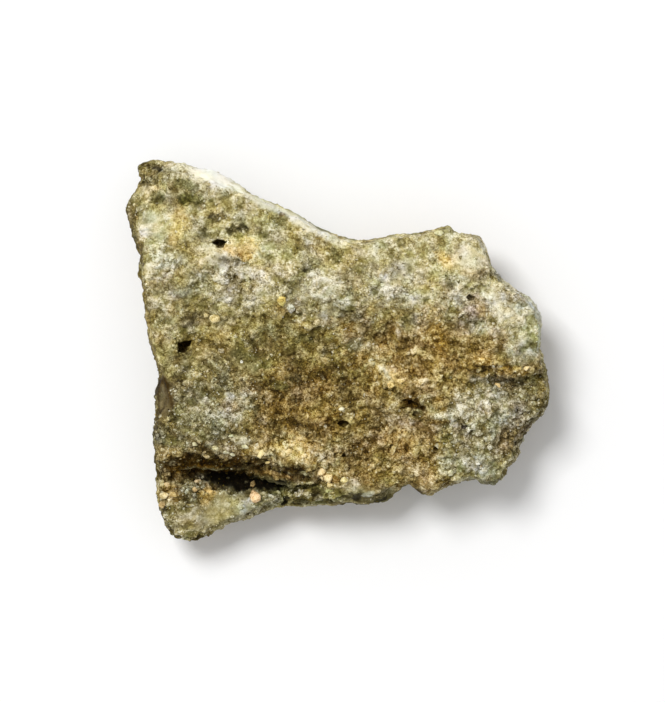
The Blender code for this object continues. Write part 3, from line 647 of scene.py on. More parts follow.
print(len(shares), "pigments laid;", round(float(share_of(FROST, CREAM, CHALK).mean()), 2), "is pale")

# %% [markdown]
# ## The hidden sides
# The camera never sees the underside or the feet of the walls, but whoever picks the stone up
# does. The underside was the other face of the same melt: bottle green glass, with desert sand
# stuck to it in patches. The broken walls are plain dark glass. A mask laid over the map is
# enough for both: it keeps the marks of the top from running down over the rim.

# %% The hidden sides
under_sand = eased(-0.1, 0.35, noise_at(places, 4.5, 11) + 0.35 * noise_at(places, 1.2, 12))
under = MOSS + (OCHRE - MOSS) * under_sand[:, None]
wall = MOSS + (OLIVE - MOSS) * eased(-0.3, 0.5, broad)[:, None]
low = eased(6.6, 4.6, places[:, 2])  # the wall's lower half is never seen from above
hidden = np.clip(on_side * low + facing_down, 0, 1)
ground += (wall - ground) * (on_side * low)[:, None]
ground += (under - ground) * facing_down[:, None]
print(round(float(hidden.mean()), 2), "of the skin is hidden from above")

# %% Clean faces, where the melt or a break left bare glass
# rows as for the stains, with no colour
CLEAN_FACES = [
    (None, "north_bevel", -12.2, 17.4, 2.7, 1.0, -28, 1.0),
    (None, "north_rim", -4.5, 13.4, 6.0, 0.5, -26, 0.7),
    (None, "clear_window", -18.3, 12.6, 1.3, 1.3, 0, 0.45),
    (None, "grey_window", -11.9, 9.0, 1.5, 0.6, 0, 0.55),
    (None, "blue_grey_window", 6.0, 7.8, 1.6, 1.0, 30, 0.45),
    (None, "dark_glass", -9.2, -0.6, 2.1, 1.3, -5, 0.35),
    (None, "west_chip", -17.3, -4.5, 0.95, 2.4, 0, 0.75),
    (None, "round_quartz", 13.5, 9.3, 1.5, 1.1, 0, 0.4),
    (None, "lobe", -12.0, -16.2, 4.2, 1.7, 14, 0.5),
    (None, "south_facets", 3.3, -14.5, 2.9, 0.9, 0, 0.5),
    (None, "south_east_tip", 15.6, -12.7, 1.6, 0.8, 0, 0.4),
]
clean = 0.4 * on_side * low
for face in CLEAN_FACES:
    clean = np.maximum(clean, cover(face, 0.3))
print("clean", round(float(clean.mean()), 2), "of the skin")

# %% Where frost and sand lie, in clumps
frost = share_of(FROST) + 0.5 * share_of(CREAM, CHALK, SAGE) + 0.25 * share_of(MINT)
sand = share_of(OCHRE, RUST, STRAW, ORANGE) + 0.8 * share_of(BROWN) + 0.3 * share_of(UMBER, DEEP)
frost = np.clip(frost, 0, 1) * (1 - clean)
sand = np.maximum(np.clip(sand, 0, 1), under_sand * facing_down) * (1 - clean)
dark = share_of(SHADOW_BLACK, SLATE, MOSS, UMBER) + 0.35 * share_of(SAGE)
clumps = eased(-0.45, 0.5, noise_at(places, 0.75, 21) + 0.5 * fine + 0.4 * drawn_out * sand)
creases = eased(0.13, 0.02, np.abs(drawn_out + 0.25 * fine)) * sand
lively = np.clip(0.75 + 0.25 * frost + 0.25 * sand - 0.15 * share_of(CREAM, MINT), 0, 1)
lively *= 1 - 0.9 * clean
print("frosted", round(float(frost.mean()), 2), "sandy", round(float(sand.mean()), 2))

# %% [markdown]
# ## Tones
# Glass of one colour is browner where it is dark and whiter where it is light: light that comes
# back from a dark place has gone through more green glass, and a light place is light because it
# is crushed or frosted. So a tone is never a plain factor here. Below 1 it is raised to a higher
# power in the green and higher still in the blue. Above 1 each channel climbs towards pale sand
# and slows down as it gets there, so the blue, which starts lowest, catches up.

# %% Tones
GREENER, BLUER = 1.12, 1.6  # powers of a dark tone in the green and in the blue


def toned(colours, tone):
    """These colours in a darker or lighter tone."""
    dark = np.minimum(tone, 1)
    light = np.maximum(tone, 1)[:, None]
    colours = colours * np.stack([dark, dark ** GREENER, dark ** BLUER], axis=1)
    return light * colours / (1 + (light - 1) * colours / LIGHT_SAND)


print("a grey of 0.2 in half the tone:", toned(np.full((1, 3), 0.2), np.array([0.5])).round(3)[0])

# %% [markdown]
# ## Patches, clouds and mottling
# The sand was no single mineral, so the glass isn't one colour either. Three sizes of angular
# Voronoi patch give each lump of old mineral its own tone and hue, and slow noise drifts the
# hue from warm to green across them. All of it is worked out once at the vertices, because the
# grains take their colours from it too.
# %% Patches of other glass
# from, to (of the chance number), tone, what else it does to red, green and blue
PATCH_HUES = [
    (0.00, 0.15, 0.50, (0.98, 1.00, 0.96)),  # dark green
    (0.15, 0.30, 1.15, (1.00, 1.00, 0.86)),  # yellow
    (0.30, 0.46, 1.80, (1.00, 1.00, 1.02)),  # cream
    (0.46, 0.58, 1.20, (1.05, 1.00, 0.90)),  # tan
    (0.58, 0.72, 0.80, (0.98, 1.00, 1.12)),  # grey
    (0.72, 0.80, 0.55, (1.04, 0.99, 0.88)),  # brown
]
PATCH_SIZES = [(2.2, 1, 0.45), (1.2, 2, 0.62), (0.65, 3, 0.65)]  # millimetres, seed, strength
warp = np.stack([bend_x, bend_y, 0.5 * bend_x], axis=1)
warp += 0.2 * np.stack([fine, middling, finest], axis=1)
gritty = 1 - clean
on_top = facing_up * (1 - hidden)
patchy = (0.3 + 0.7 * gritty) * on_top * (1 - 0.6 * share_of(CHALK, CREAM, AMBER, TAUPE))
for size, seed, strength in PATCH_SIZES:
    chance = patches_at(places + warp * min(size, 1.2) * 0.45, size, seed)
    for low_end, high_end, tone, hue in PATCH_HUES:
        picked = (chance >= low_end) * (chance < high_end) * strength * patchy
        ground = toned(ground, tone ** picked) * np.array(hue) ** picked[:, None]
print(len(PATCH_SIZES), "sizes of patch in", len(PATCH_HUES), "hues")

# %% Clouds of hue
warm = 0.6 * noise_at(places, 2.4, 41) + 0.45 * noise_at(places, 1.2, 42)
green = noise_at(places, 1.9, 43)
tinted = 1 - 0.6 * share_of(CREAM, CHALK, SHADOW_BLACK, UMBER)
ground[:, 0] *= np.exp((0.12 * warm - 0.09 * green) * tinted)
ground[:, 2] *= np.exp((-0.55 * warm - 0.1 * green) * tinted)
print("the clouds change the blue by", round(float((0.55 * warm * tinted).std()), 2), "on the whole")

# %% [markdown]
# ## Windows and crust
# Where the top is glass it is a pavement: dark clear windows a millimetre wide, with a pale
# crust of crushed crystals along their borders. The windows are calm and the crust is rough.

# %% Windows and crust
border = 1 - pebbles_at(places * (0.8, 1.0, 1.0) + 0.3 * warp, 1.2)
plain = share_of(OCHRE, STRAW, RUST, BROWN, SHADOW_BLACK, UMBER, CREAM, AMBER, TAUPE)
glassy = (1 - plain) * on_top * gritty
paved = glassy * eased(-0.2, 0.2, noise_at(places, 2.1, 31) + 0.2 * middling)
crust = paved * eased(0.62, 0.9, border + 0.35 * fine + 0.25 * finest)
window = paved * eased(0.8, 0.45, border + 0.3 * fine)
ground = toned(ground, np.exp(0.6 * crust - 0.4 * window))
ground *= np.array((0.96, 1.0, 0.88)) ** window[:, None]
calm = 0.6 * window + 0.35 * eased(0.1, 0.4, noise_at(places, 1.6, 32)) * (1 - window)
calm = np.maximum(calm, np.maximum(0.3 * lumps, share_of(SHADOW_BLACK)))
calm = np.maximum(calm, 0.4 * share_of(CREAM, CHALK, MINT, TAUPE, AMBER))
lively *= 1 - 0.6 * calm
print("crust", round(float(crust.mean()), 3), "windows", round(float(window.mean()), 3))

# %% Painted shade in the gaps between lumps, and mottling
gap_lines = noise_at(places * (0.55, 1.0, 1.0), 0.8, 51) + 0.35 * fine
small_lines = noise_at(places, 0.5, 52) + 0.3 * finest
here = eased(-0.05, 0.35, noise_at(places, 1.7, 53) + 0.3 * middling)  # the lines come and go
small_gaps = 0.8 * eased(0.26, 0.08, np.abs(small_lines))
gaps = np.maximum(eased(0.22, 0.06, np.abs(gap_lines)) * here, small_gaps * (1 - here))
gaps *= gritty * (0.5 + 0.5 * np.clip(frost + sand + share_of(SAGE), 0, 1)) * on_top
gaps *= 1 - 0.5 * share_of(CHALK, CREAM, AMBER, TAUPE)
burnt = share_of(UMBER, SHADOW_BLACK, BROWN)
fibres = noise_at(places * (0.16, 1.0, 1.0), 0.3, 61) * burnt * eased(-7.0, -9.5, places[:, 1])
mottle = 0.10 * middling + 0.12 * broad + 0.26 * fine + 0.26 * finest + 0.12 * drawn_out
clumpy = (np.clip(frost + sand, 0, 1) + 0.5 * share_of(SAGE)) * (clumps - 0.5)
painted_side_shade = 0.35 * np.clip(on_side * (1 - share_of(CREAM, CHALK)), 0, 1)  # painted shade: seen edge on, the broken sides are darker
# painted shade, darker still where the sides face west, towards the lamp
painted_side_shade += 0.9 * on_side * eased(0.1, 0.5, -normals[:, 0])
# painted shade: the gaps, creases, borders of the pebbles and broken sides are darker, the clumps lighter
clumps_and_gap_shade = -0.32 * share_of(SAGE) + 0.82 * clumpy - 0.5 * creases - 0.95 * gaps
clumps_and_gap_shade = clumps_and_gap_shade - 0.3 * (0.4 - bed) * gritty - painted_side_shade
ground = toned(ground, np.exp(mottle * (0.25 + 0.75 * gritty) + clumps_and_gap_shade + 0.7 * fibres))
print("gaps", round(float(gaps.mean()), 3), "mean ground", ground.mean(axis=0).round(3))

# %% [markdown]
# ## Lumps, grit and bubbles in the mesh
# Up close the top is never smooth: swells as wide as a grain of rice carry grit the size of
# table salt, and gas left small pits when it burst out of the melt. Pushing the vertices along
# their normals gives the swells and the grit, and a bed of pebbles where sand lies. The broken
# sides are clean glass, so they get faint ripples only.

# %% Mounds: single large grains that the melt has grown over
# what it is, x, y, half length, half width, turn in degrees, height, all in millimetres
MOUNDS = [
    ("shoulder_west", 15.2, 5.4, 1.1, 0.8, -10, 0.35),
    ("shoulder_middle", 16.6, 4.2, 1.0, 0.7, -30, 0.3),
    ("shoulder_east", 17.6, 3.1, 1.2, 0.8, -15, 0.35),
    ("rim_mound", 19.2, 1.0, 1.0, 1.2, 0, 0.25),
    ("white_spot", -9.6, -8.9, 0.9, 0.8, 20, 0.35),
    ("tan_heap", -0.9, -12.6, 1.0, 0.7, -20, 0.35),
    ("sandy_bar", 4.9, -2.6, 0.6, 1.3, 25, 0.3),
    ("crest_mound_west", -7.3, 7.4, 0.9, 0.7, 0, 0.3),
    ("crest_mound_east", -1.8, 5.9, 1.3, 0.9, -10, 0.25),
    ("valley_mound", 13.4, 3.6, 0.9, 0.6, 30, 0.25),
    ("charcoal_mound", -10.1, 12.4, 1.0, 0.6, 8, 0.2),
    ("south_white", 10.7, -11.5, 0.9, 0.6, -35, 0.3),
]
mound = np.zeros(len(places))
for _, x, y, long, wide, degrees, height in MOUNDS:
    away = from_middle(places[:, 0] - x, places[:, 1] - y, long, wide, degrees)
    away = away + 0.2 * middling + 0.12 * fine
    mound += height * np.sqrt(np.clip(1 - away ** 2, 0, 1)) * facing_up
print(len(MOUNDS), "mounds, the highest", round(float(mound.max()), 2), "mm")

# %% Push the vertices out and in
# the rise is in millimetres, and less of it is left where the face is clean
ridges = 0.5 - np.abs(noise_at(places * (0.75, 1.0, 1.0), 0.9, 71))  # crumpled like a crust
left = 0.3 + 0.7 * gritty
rise = 0.16 * broad * on_side + (0.12 * middling + 0.22 * (ridges - 0.25)) * left
rise += (0.12 * fine + 0.07 * finest) * left
rise += 0.16 * (bed - 0.35) * gritty * (0.5 + 0.5 * lively)
rise += 0.26 * clumpy - 0.14 * creases - 0.16 * gaps + 0.05 * fibres + 0.07 * crust - 0.05 * window
rise += 0.1 * on_side * (fine + 0.7 * finest) + mound
rise *= 1 - 0.25 * on_side
rest_spot = eased(0.35, 0.0, places[:, 2])  # what the stone lies on stays as it is
places += normals * (rise * (1 - rest_spot))[:, None]
print("pushed by", round(float(rise.min()), 2), "to", round(float(rise.max()), 2), "mm")

# %% Cut the open bubbles
def from_outline(outline):
    """How far outside a closed outline each vertex is, in millimetres; negative inside."""
    x, y = places[:, 0], places[:, 1]
    nearest = np.full(len(x), np.inf)
    crossings = np.zeros(len(x), int)
    for (ax, ay), (bx, by) in zip(outline, outline[1:] + outline[:1]):
        along = ((x - ax) * (bx - ax) + (y - ay) * (by - ay)) / ((bx - ax) ** 2 + (by - ay) ** 2)
        along = np.clip(along, 0, 1)
        nearest = np.minimum(nearest, np.hypot(x - ax - along * (bx - ax), y - ay - along * (by - ay)))
        level = (ay > y) != (by > y)
        crossings += level & (x - ax < (bx - ax) * (y - ay) / (by - ay + 1e-9))
    return np.where(crossings % 2 == 1, -nearest, nearest)


hole = np.zeros(len(places))
near = np.zeros(len(places))
high = places[:, 2] > UPPER
for name, _, _, long, wide, _, depth in BUBBLES:
    outside = from_outline(OUTLINES[name])
    inside = eased(0.04, -0.04, outside) * high
    places[:, 2] -= inside * depth * (0.7 + 0.3 * eased(0.0, -0.25, outside))
    hole = np.maximum(hole, inside * min(1, 0.7 + 0.4 * wide))
    near = np.maximum(near, eased(0.14, 0.04, outside) * high)
# the floors of the open bubbles are painted dark brown: painted shade of the hollows
ground += (UMBER * (0.8, 0.75, 0.4) - ground) * hole[:, None]
print(int((hole > 0.5).sum()), "vertices lie in the open bubbles")

# %% Put the skin back on the mesh
# an object that this makes lies at the origin and unturned
for vertex, place in zip(stone.verts, places):
    vertex.co = place * MM
body_mesh = bpy.data.meshes.new(NODE + "_skin")
stone.normal_update()
stone.to_mesh(body_mesh)
skin_finder = BVHTree.FromBMesh(stone)
stone.free()


def new_object(name, data):
    """An object in the scene with this mesh, lamp or camera."""
    thing = bpy.data.objects.new(name, data)
    bpy.context.scene.collection.objects.link(thing)
    return thing


body_mesh.shade_smooth()
body = new_object("stone", body_mesh)
print("stone:", len(body_mesh.polygons), "triangles")


# %% Keep the colours and the masks on the mesh
def keep_attribute(name, values):
    """Stores a value or a colour at each vertex under a name."""
    if values.ndim == 1:
        layer = body_mesh.attributes.new(name, "FLOAT", "POINT")
        layer.data.foreach_set("value", np.clip(values, 0, 1).astype(np.float32))
    else:
        layer = body_mesh.color_attributes.new(name, "FLOAT_COLOR", "POINT")
        rgba = np.hstack([np.clip(values, 0, 1), np.ones((len(values), 1))])
        layer.data.foreach_set("color", rgba.astype(np.float32).ravel())


open_skin = (1 - near) * (1 - rest_spot) * (1 - 0.75 * gaps)
crystals = np.clip(share_of(SAGE) + 0.5 * share_of(FROST, MINT), 0, 1)
MASKS = {
    "lively": lively,
    "dull": np.maximum(np.maximum(hole, share_of(SHADOW_BLACK, UMBER, BROWN)), 0.8 * sand) * (1 - 0.8 * clean),
    "frost": np.clip(frost * (0.35 + 0.65 * clumps) + 0.5 * crust, 0, 1) * open_skin * (1 - calm),
    "sand": sand * open_skin * (0.35 + 0.65 * clumps) * (0.3 + 0.7 * facing_up) * (1 - share_of(SHADOW_BLACK)),
    "grit": (1 - 0.9 * clean) * open_skin * (0.4 + 0.6 * facing_up) * (1 - 0.9 * calm),
    "darkness": (0.12 + 0.88 * dark) * open_skin * facing_up * (1 - 0.6 * clean) * (1 - 0.7 * lumps),
    "crystals": crystals * open_skin * facing_up * gritty,
    "glint": np.clip(0.01 + 0.8 * frost + crust, 0, 1) * open_skin * gritty * (1 - 0.9 * calm) * (1 - sand),
}
for extra in [a.name for a in body_mesh.attributes if a.name in ("custom_normal", "UVMap")]:
    body_mesh.attributes.remove(body_mesh.attributes[extra])
keep_attribute("ground", ground)
for name, values in MASKS.items():
    keep_attribute(name, values)
print("kept on the skin: ground,", ", ".join(MASKS))

# %% [markdown]
# ## One pattern for all the glass and sand
# Every finish of this stone breaks up into grains, so the breaking up is one shader node group
# that the materials share. Voronoi cells a fifth of a millimetre wide give each grain its own
# tone, and noise makes broader cloudiness. The group also puts out a height: inside each cell
# it is a plane with a tilt of its own, so a bump made from it turns every cell into a tiny
# facet that can catch the light. That is what makes crushed glass glitter.

# %% Small helpers for node trees
def feed(tree, socket, value):
    """Links an output to a socket, or sets the socket to a plain value."""
    if isinstance(value, bpy.types.NodeSocket):
        tree.links.new(value, socket)
    else:
        socket.default_value = value


def add_node(tree, kind, place, inputs=None, **settings):
    """A node at a place in the tree, with its settings made first and then its inputs fed."""
    node = tree.nodes.new(kind)
    node.location = place
    for name, value in settings.items():
        setattr(node, name, value)
    for label, value in (inputs or {}).items():
        feed(tree, node.inputs[label], value)
    return node


def add_sockets(tree, side, rows):
    """Gives a tree sockets of its own: each row is a label, a kind and a starting value."""
    for label, kind, start in rows:
        socket = tree.interface.new_socket(label, in_out=side, socket_type="NodeSocket" + kind)
        if start is not None:
            socket.default_value = start


def port(sockets, identifier):
    """The socket with this identifier, where several share a name."""
    return next(s for s in sockets if s.identifier == identifier)


# %% Arithmetic in a node tree
HALF = (0.5, 0.5, 0.5)  # the middle of a noise colour
ONE = (1.0, 1.0, 1.0)


def maths(tree, operation, first, second, place):
    """One step of arithmetic on two numbers."""
    node = add_node(tree, "ShaderNodeMath", place, {0: first, 1: second}, operation=operation)
    return node.outputs[0]


def vectors(tree, operation, first, second, place):
    """One step of arithmetic on two vectors, or on a vector and a number."""
    other = "Scale" if operation == "SCALE" else 1
    node = add_node(tree, "ShaderNodeVectorMath", place, {0: first, other: second}, operation=operation)
    return node.outputs["Value" if operation == "DOT_PRODUCT" else "Vector"]


def mixed_colour(tree, factor, first, second, place):
    """A mix of two colours: the first at factor 0, the second at factor 1."""
    node = add_node(tree, "ShaderNodeMix", place, data_type="RGBA")
    for identifier, value in (("Factor_Float", factor), ("A_Color", first), ("B_Color", second)):
        feed(tree, port(node.inputs, identifier), value)
    return port(node.outputs, "Result_Color")


def stepped(tree, value, low, high, place):
    """0 below low, 1 above high, with a soft step between."""
    inputs = {"Value": value, "From Min": low, "From Max": high}
    node = add_node(tree, "ShaderNodeMapRange", place, inputs, interpolation_type="SMOOTHSTEP")
    return node.outputs["Result"]


def noise_node(tree, vector, scale, detail, place, roughness=0.5):
    """Smooth noise, for its number Fac or its three numbers Color."""
    inputs = {"Vector": vector, "Scale": scale, "Detail": detail, "Roughness": roughness}
    return add_node(tree, "ShaderNodeTexNoise", place, inputs)


# %% Tones in a node tree
def chance_tone(tree, contrast, chance, place):
    """A tone around 1: contrast is how many times lighter the lightest is than the darkest."""
    centred = maths(tree, "SUBTRACT", chance, 0.5, place)
    return maths(tree, "POWER", contrast, centred, (place[0] + 180, place[1]))


def toned_in_tree(tree, colour, tone, place):
    """The colour in a darker or lighter tone, browner when dark and whiter when light."""
    x, y = place
    dark = maths(tree, "MINIMUM", tone, 1.0, (x, y))
    dark_green = maths(tree, "POWER", dark, GREENER, (x + 200, y))
    dark_blue = maths(tree, "POWER", dark, BLUER, (x + 200, y - 150))
    channels = {"X": dark, "Y": dark_green, "Z": dark_blue}
    parts = add_node(tree, "ShaderNodeCombineXYZ", (x + 400, y), channels)
    darker = vectors(tree, "MULTIPLY", colour, parts.outputs[0], (x + 600, y))
    light = maths(tree, "MAXIMUM", tone, 1.0, (x, y - 300))
    more = maths(tree, "SUBTRACT", light, 1.0, (x + 200, y - 300))
    near_sand = vectors(tree, "DIVIDE", darker, tuple(LIGHT_SAND), (x + 600, y - 300))
    slower = vectors(tree, "SCALE", near_sand, more, (x + 750, y - 300))
    slower = vectors(tree, "ADD", slower, ONE, (x + 850, y - 150))
    lighter = vectors(tree, "SCALE", darker, light, (x + 750, y))
    return vectors(tree, "DIVIDE", lighter, slower, (x + 900, y))


# %% Bends and thin lines in a node tree
def bent_by_noise(tree, place, scale, detail, reach, low):
    """A place in millimetres, moved about by noise, so that no cell has a straight border."""
    bend = noise_node(tree, place, scale, detail, (-1400, low)).outputs["Color"]
    bend = vectors(tree, "SUBTRACT", bend, HALF, (-1200, low))
    bend = vectors(tree, "SCALE", bend, reach, (-1000, low))
    return vectors(tree, "ADD", place, bend, (-800, low + 100))


def thin_lines(tree, line_noise, level, thin, wide, low):
    """1 along the curves where noise has this level, and 0 away from them."""
    away = maths(tree, "SUBTRACT", line_noise.outputs["Fac"], level, (-400, low))
    away = maths(tree, "ABSOLUTE", away, 0.0, (-250, low))
    off_line = stepped(tree, away, thin, wide, (-100, low))
    return maths(tree, "SUBTRACT", 1.0, off_line, (50, low))


# %% Cells of the grain pattern
CELLS = [
    # name, cells per millimetre, contrast to start from
    ("Inclusion contrast", 0.85, 1.7),
    ("Lump contrast", 1.9, 2.0),
    ("Grain contrast", 4.4, 2.4),
    ("Crumb contrast", 9.0, 1.8),
]
INCLUSION, LUMP, GRAIN, CRUMB = range(len(CELLS))
CONTRASTS = [label for label, _, _ in CELLS] + ["Cloud contrast"]


def cell_patterns(tree, take, bent, finely_bent):
    """For each size of cell, its Voronoi node, its chance colour in parts, and its tone."""
    patterns = []
    for k, (label, per_mm, _) in enumerate(CELLS):
        y = 600 - 350 * k
        inputs = {"Vector": bent if k <= LUMP else finely_bent, "Scale": per_mm}
        voronoi = add_node(tree, "ShaderNodeTexVoronoi", (-600, y), inputs, feature="F1")
        inputs = {"Color": voronoi.outputs["Color"]}
        parts = add_node(tree, "ShaderNodeSeparateColor", (-400, y), inputs)
        tone = chance_tone(tree, take.outputs[label], parts.outputs["Red"], (-200, y))
        patterns.append((voronoi, parts, tone))
    return patterns


# %% Grain pattern group
CRACK_TONE = 0.5  # along a crack
THREAD_TONE = 2.4  # along a thread of crystals
GREEN_HUE = (0.95, 1.0, 0.92, 1)  # what some inclusions do to the ground colour
BROWN_HUE = (1.02, 0.97, 0.86, 1)  # and some lumps


def grain_group():
    """Breaks a ground colour up into inclusions, lumps and grains."""
    tree = bpy.data.node_groups.new("grain_pattern", "ShaderNodeTree")
    starts = [(label, "Float", start) for label, _, start in CELLS]
    add_sockets(tree, "INPUT", [("Ground", "Color", None), *starts, ("Cloud contrast", "Float", 4.0)])
    given = [("Colour", "Color", None), ("Height", "Float", None), ("Chance", "Float", None)]
    add_sockets(tree, "OUTPUT", given)
    take = add_node(tree, "NodeGroupInput", (-1600, 0))
    where = add_node(tree, "ShaderNodeTexCoord", (-1600, -300))
    place = vectors(tree, "SCALE", where.outputs["Object"], 1 / MM, (-1400, -300))
    bent = bent_by_noise(tree, place, 1.4, 3.0, 1.1, -550)
    finely_bent = bent_by_noise(tree, place, 5.5, 2.0, 0.22, -850)
    cells, parts, tones = zip(*cell_patterns(tree, take, bent, finely_bent))

    # coarse tones: inclusions, lumps and clouds
    cloud = noise_node(tree, place, 0.55, 6.0, (-600, -800), roughness=0.68).outputs["Fac"]
    cloudy = chance_tone(tree, take.outputs["Cloud contrast"], cloud, (-200, -800))
    coarse = maths(tree, "MULTIPLY", tones[INCLUSION], tones[LUMP], (400, 300))
    coarse = maths(tree, "MULTIPLY", coarse, cloudy, (600, 0))

    # small tones: grains, crumbs, cracks and threads, which come and go with the clouds
    stretched = vectors(tree, "MULTIPLY", finely_bent, (0.6, 1.0, 1.0), (-800, -1100))
    lines = noise_node(tree, stretched, 2.3, 3.0, (-600, -1100))
    cracked = thin_lines(tree, lines, 0.5, 0.015, 0.07, -1100)
    some = stepped(tree, cloud, 0.62, 0.42, (50, -1250))
    cracked = maths(tree, "MULTIPLY", cracked, some, (200, -1100))
    lines = noise_node(tree, stretched, 4.6, 2.0, (-600, -1500))
    lit = thin_lines(tree, lines, 0.47, 0.01, 0.06, -1500)
    some = stepped(tree, cloud, 0.35, 0.5, (50, -1650))
    lit = maths(tree, "MULTIPLY", lit, some, (200, -1500))
    small = maths(tree, "MULTIPLY", tones[GRAIN], tones[CRUMB], (400, 100))
    dark_lines = maths(tree, "POWER", CRACK_TONE, cracked, (400, -1100))
    small = maths(tree, "MULTIPLY", small, dark_lines, (600, 150))
    light_lines = maths(tree, "POWER", THREAD_TONE, lit, (400, -1500))
    small = maths(tree, "MULTIPLY", small, light_lines, (800, 150))

    # colour
    greener = stepped(tree, parts[INCLUSION].outputs["Green"], 0.55, 0.95, (200, -200))
    browner = stepped(tree, parts[LUMP].outputs["Green"], 0.60, 0.95, (200, -350))
    hue = mixed_colour(tree, greener, (*ONE, 1), GREEN_HUE, (500, -200))
    hue = mixed_colour(tree, browner, hue, BROWN_HUE, (700, -300))
    coloured = vectors(tree, "MULTIPLY", take.outputs["Ground"], hue, (900, 0))
    coloured = toned_in_tree(tree, coloured, coarse, (1100, 100))
    coloured = toned_in_tree(tree, coloured, small, (2100, 100))

    # height: each grain is a plane with a tilt of its own
    offset = vectors(tree, "SUBTRACT", place, cells[GRAIN].outputs["Position"], (0, -1000))
    offset = vectors(tree, "SCALE", offset, CELLS[GRAIN][1], (200, -1000))
    tilt = vectors(tree, "SUBTRACT", cells[GRAIN].outputs["Color"], HALF, (0, -1150))
    facets = vectors(tree, "DOT_PRODUCT", offset, tilt, (400, -1000))
    crack_depth = maths(tree, "MULTIPLY", cracked, 0.5, (400, -1300))
    height = maths(tree, "SUBTRACT", facets, crack_depth, (700, -1000))
    inputs = {"Colour": coloured, "Height": height, "Chance": parts[GRAIN].outputs["Green"]}
    add_node(tree, "NodeGroupOutput", (3200, 0), inputs)
    return tree


GRAIN_PATTERN = grain_group()
print("grain pattern:", len(GRAIN_PATTERN.nodes), "nodes")

# %% [markdown]
# ## The fused glass
# The skin's material reads the ground colour from the mesh and lets the grain pattern lighten
# and darken it. A mask called lively says how much: it is near 0 on clean faces, which stay
# smooth and glossy, and near 1 where frost or sand is thick. Roughness follows the same cells:
# some facets are glassy and some are dull. The real glass lets a little light through at its
# thin rim. Here it is opaque: its depth is in its colours, which costs far less to render.

# %% A finish with grains
WARM_GLOSS = (1.0, 0.9, 0.62, 1.0)  # iron in the glass takes the blue out of what it mirrors
GLASS_IOR = 1.5
DULLED = 0.45  # how much rougher a dull place is


def attribute_node(tree, name, place):
    """Reads what is kept on the mesh under a name."""
    return add_node(tree, "ShaderNodeAttribute", place, attribute_name=name)


def grain_finish(name, ground_name, roughness_range, relief, contrasts, shine, masks=None):
    """A finish that breaks the colour kept under a name into grains, glossy and dull ones."""
    material = bpy.data.materials.new(name)
    material.use_nodes = True
    tree = material.node_tree
    ground = attribute_node(tree, ground_name, (-1200, 100)).outputs["Color"]
    inputs = {"Ground": ground, **dict(zip(CONTRASTS, contrasts))}
    grain = add_node(tree, "ShaderNodeGroup", (-900, 0), inputs, node_tree=GRAIN_PATTERN)
    colour, height = grain.outputs["Colour"], grain.outputs["Height"]
    low, high = roughness_range
    inputs = {"Value": grain.outputs["Chance"], "To Min": low, "To Max": high}
    rough = add_node(tree, "ShaderNodeMapRange", (-600, -100), inputs).outputs["Result"]
    if masks:
        lively = attribute_node(tree, masks[0], (-900, 300)).outputs["Fac"]
        dull = attribute_node(tree, masks[1], (-900, -500)).outputs["Fac"]
        colour = mixed_colour(tree, lively, ground, colour, (-400, 200))
        height = maths(tree, "MULTIPLY", height, lively, (-600, -400))
        dulled = maths(tree, "MULTIPLY", dull, DULLED, (-500, -600))
        rough = maths(tree, "ADD", rough, dulled, (-300, -100))
    inputs = {"Strength": 1.0, "Distance": relief, "Height": height}
    bump = add_node(tree, "ShaderNodeBump", (-300, -400), inputs)
    finish = {
        "Base Color": colour, "Roughness": rough, "Normal": bump.outputs["Normal"],
        "Metallic": 0.0, "IOR": GLASS_IOR, "Specular Tint": WARM_GLOSS, "Specular IOR Level": shine,
    }
    for label, value in finish.items():
        feed(tree, tree.nodes["Principled BSDF"].inputs[label], value)
    return material


# %% Finish of the stone
GLASS = grain_finish(
    "fused_sand_glass", "ground", (0.4, 0.75), 0.05 * MM, (1.5, 1.9, 3.2, 6.0, 4.0), 0.15,
    masks=("lively", "dull"),
)
body_mesh.materials.clear()
body_mesh.materials.append(GLASS)
print("the stone wears", GLASS.name)

# %% [markdown]
# ## Grains, by Geometry Nodes
# Tens of thousands of grains are fused into the top. Placing them by hand is out of the
# question, and particles would not survive an export. One node tree scatters them instead:
# it drops points on the stone, no two closer than a spacing, thinned by a mask, and puts a
# small angular pebble on each, cut from a rough ball by a convex hull. Every grain mixes its
# own colour from three and takes part of the ground's colour, then all of them become one
# plain mesh.

# %% The tree's inputs
GRAIN_INPUTS = [
    # label, kind of socket, starting value
    ("Geometry", "Geometry", None),
    ("Cover", "String", "grit"),
    ("Spacing", "Float", 0.0002),
    ("Most per square metre", "Float", 3.0e7),
    ("Smallest", "Float", 0.00010),
    ("Largest", "Float", 0.00022),
    ("Rarity of large", "Float", 2.5),
    ("Sides", "Int", 5),
    ("Rings", "Int", 3),
    ("Jaggedness", "Float", 0.6),
    ("Flatness", "Float", 0.8),
    ("Tumble", "Float", 0.3),
    ("Sink", "Float", 0.3),
    ("Colour A", "Color", (0.5, 0.5, 0.5, 1)),
    ("Colour B", "Color", (0.3, 0.3, 0.3, 1)),
    ("Odd colour", "Color", (0.1, 0.1, 0.1, 1)),
    ("Odd share", "Float", 0.1),
    ("Share from ground", "Float", 0.5),
    ("Contrast", "Float", 2.5),
    ("Lightness", "Float", 1.0),
    ("Seed", "Int", 1),
    ("Material", "Material", None),
]
SHAPES = 6  # different pebbles to choose from
PEBBLE_NOISE = 0.9  # lumps across a pebble of radius one
PEBBLE_STEP = (3.7, 1.3, 8.1)  # from one pebble's noise to the next one's
PEBBLE_WIDTH = 0.8  # of its length


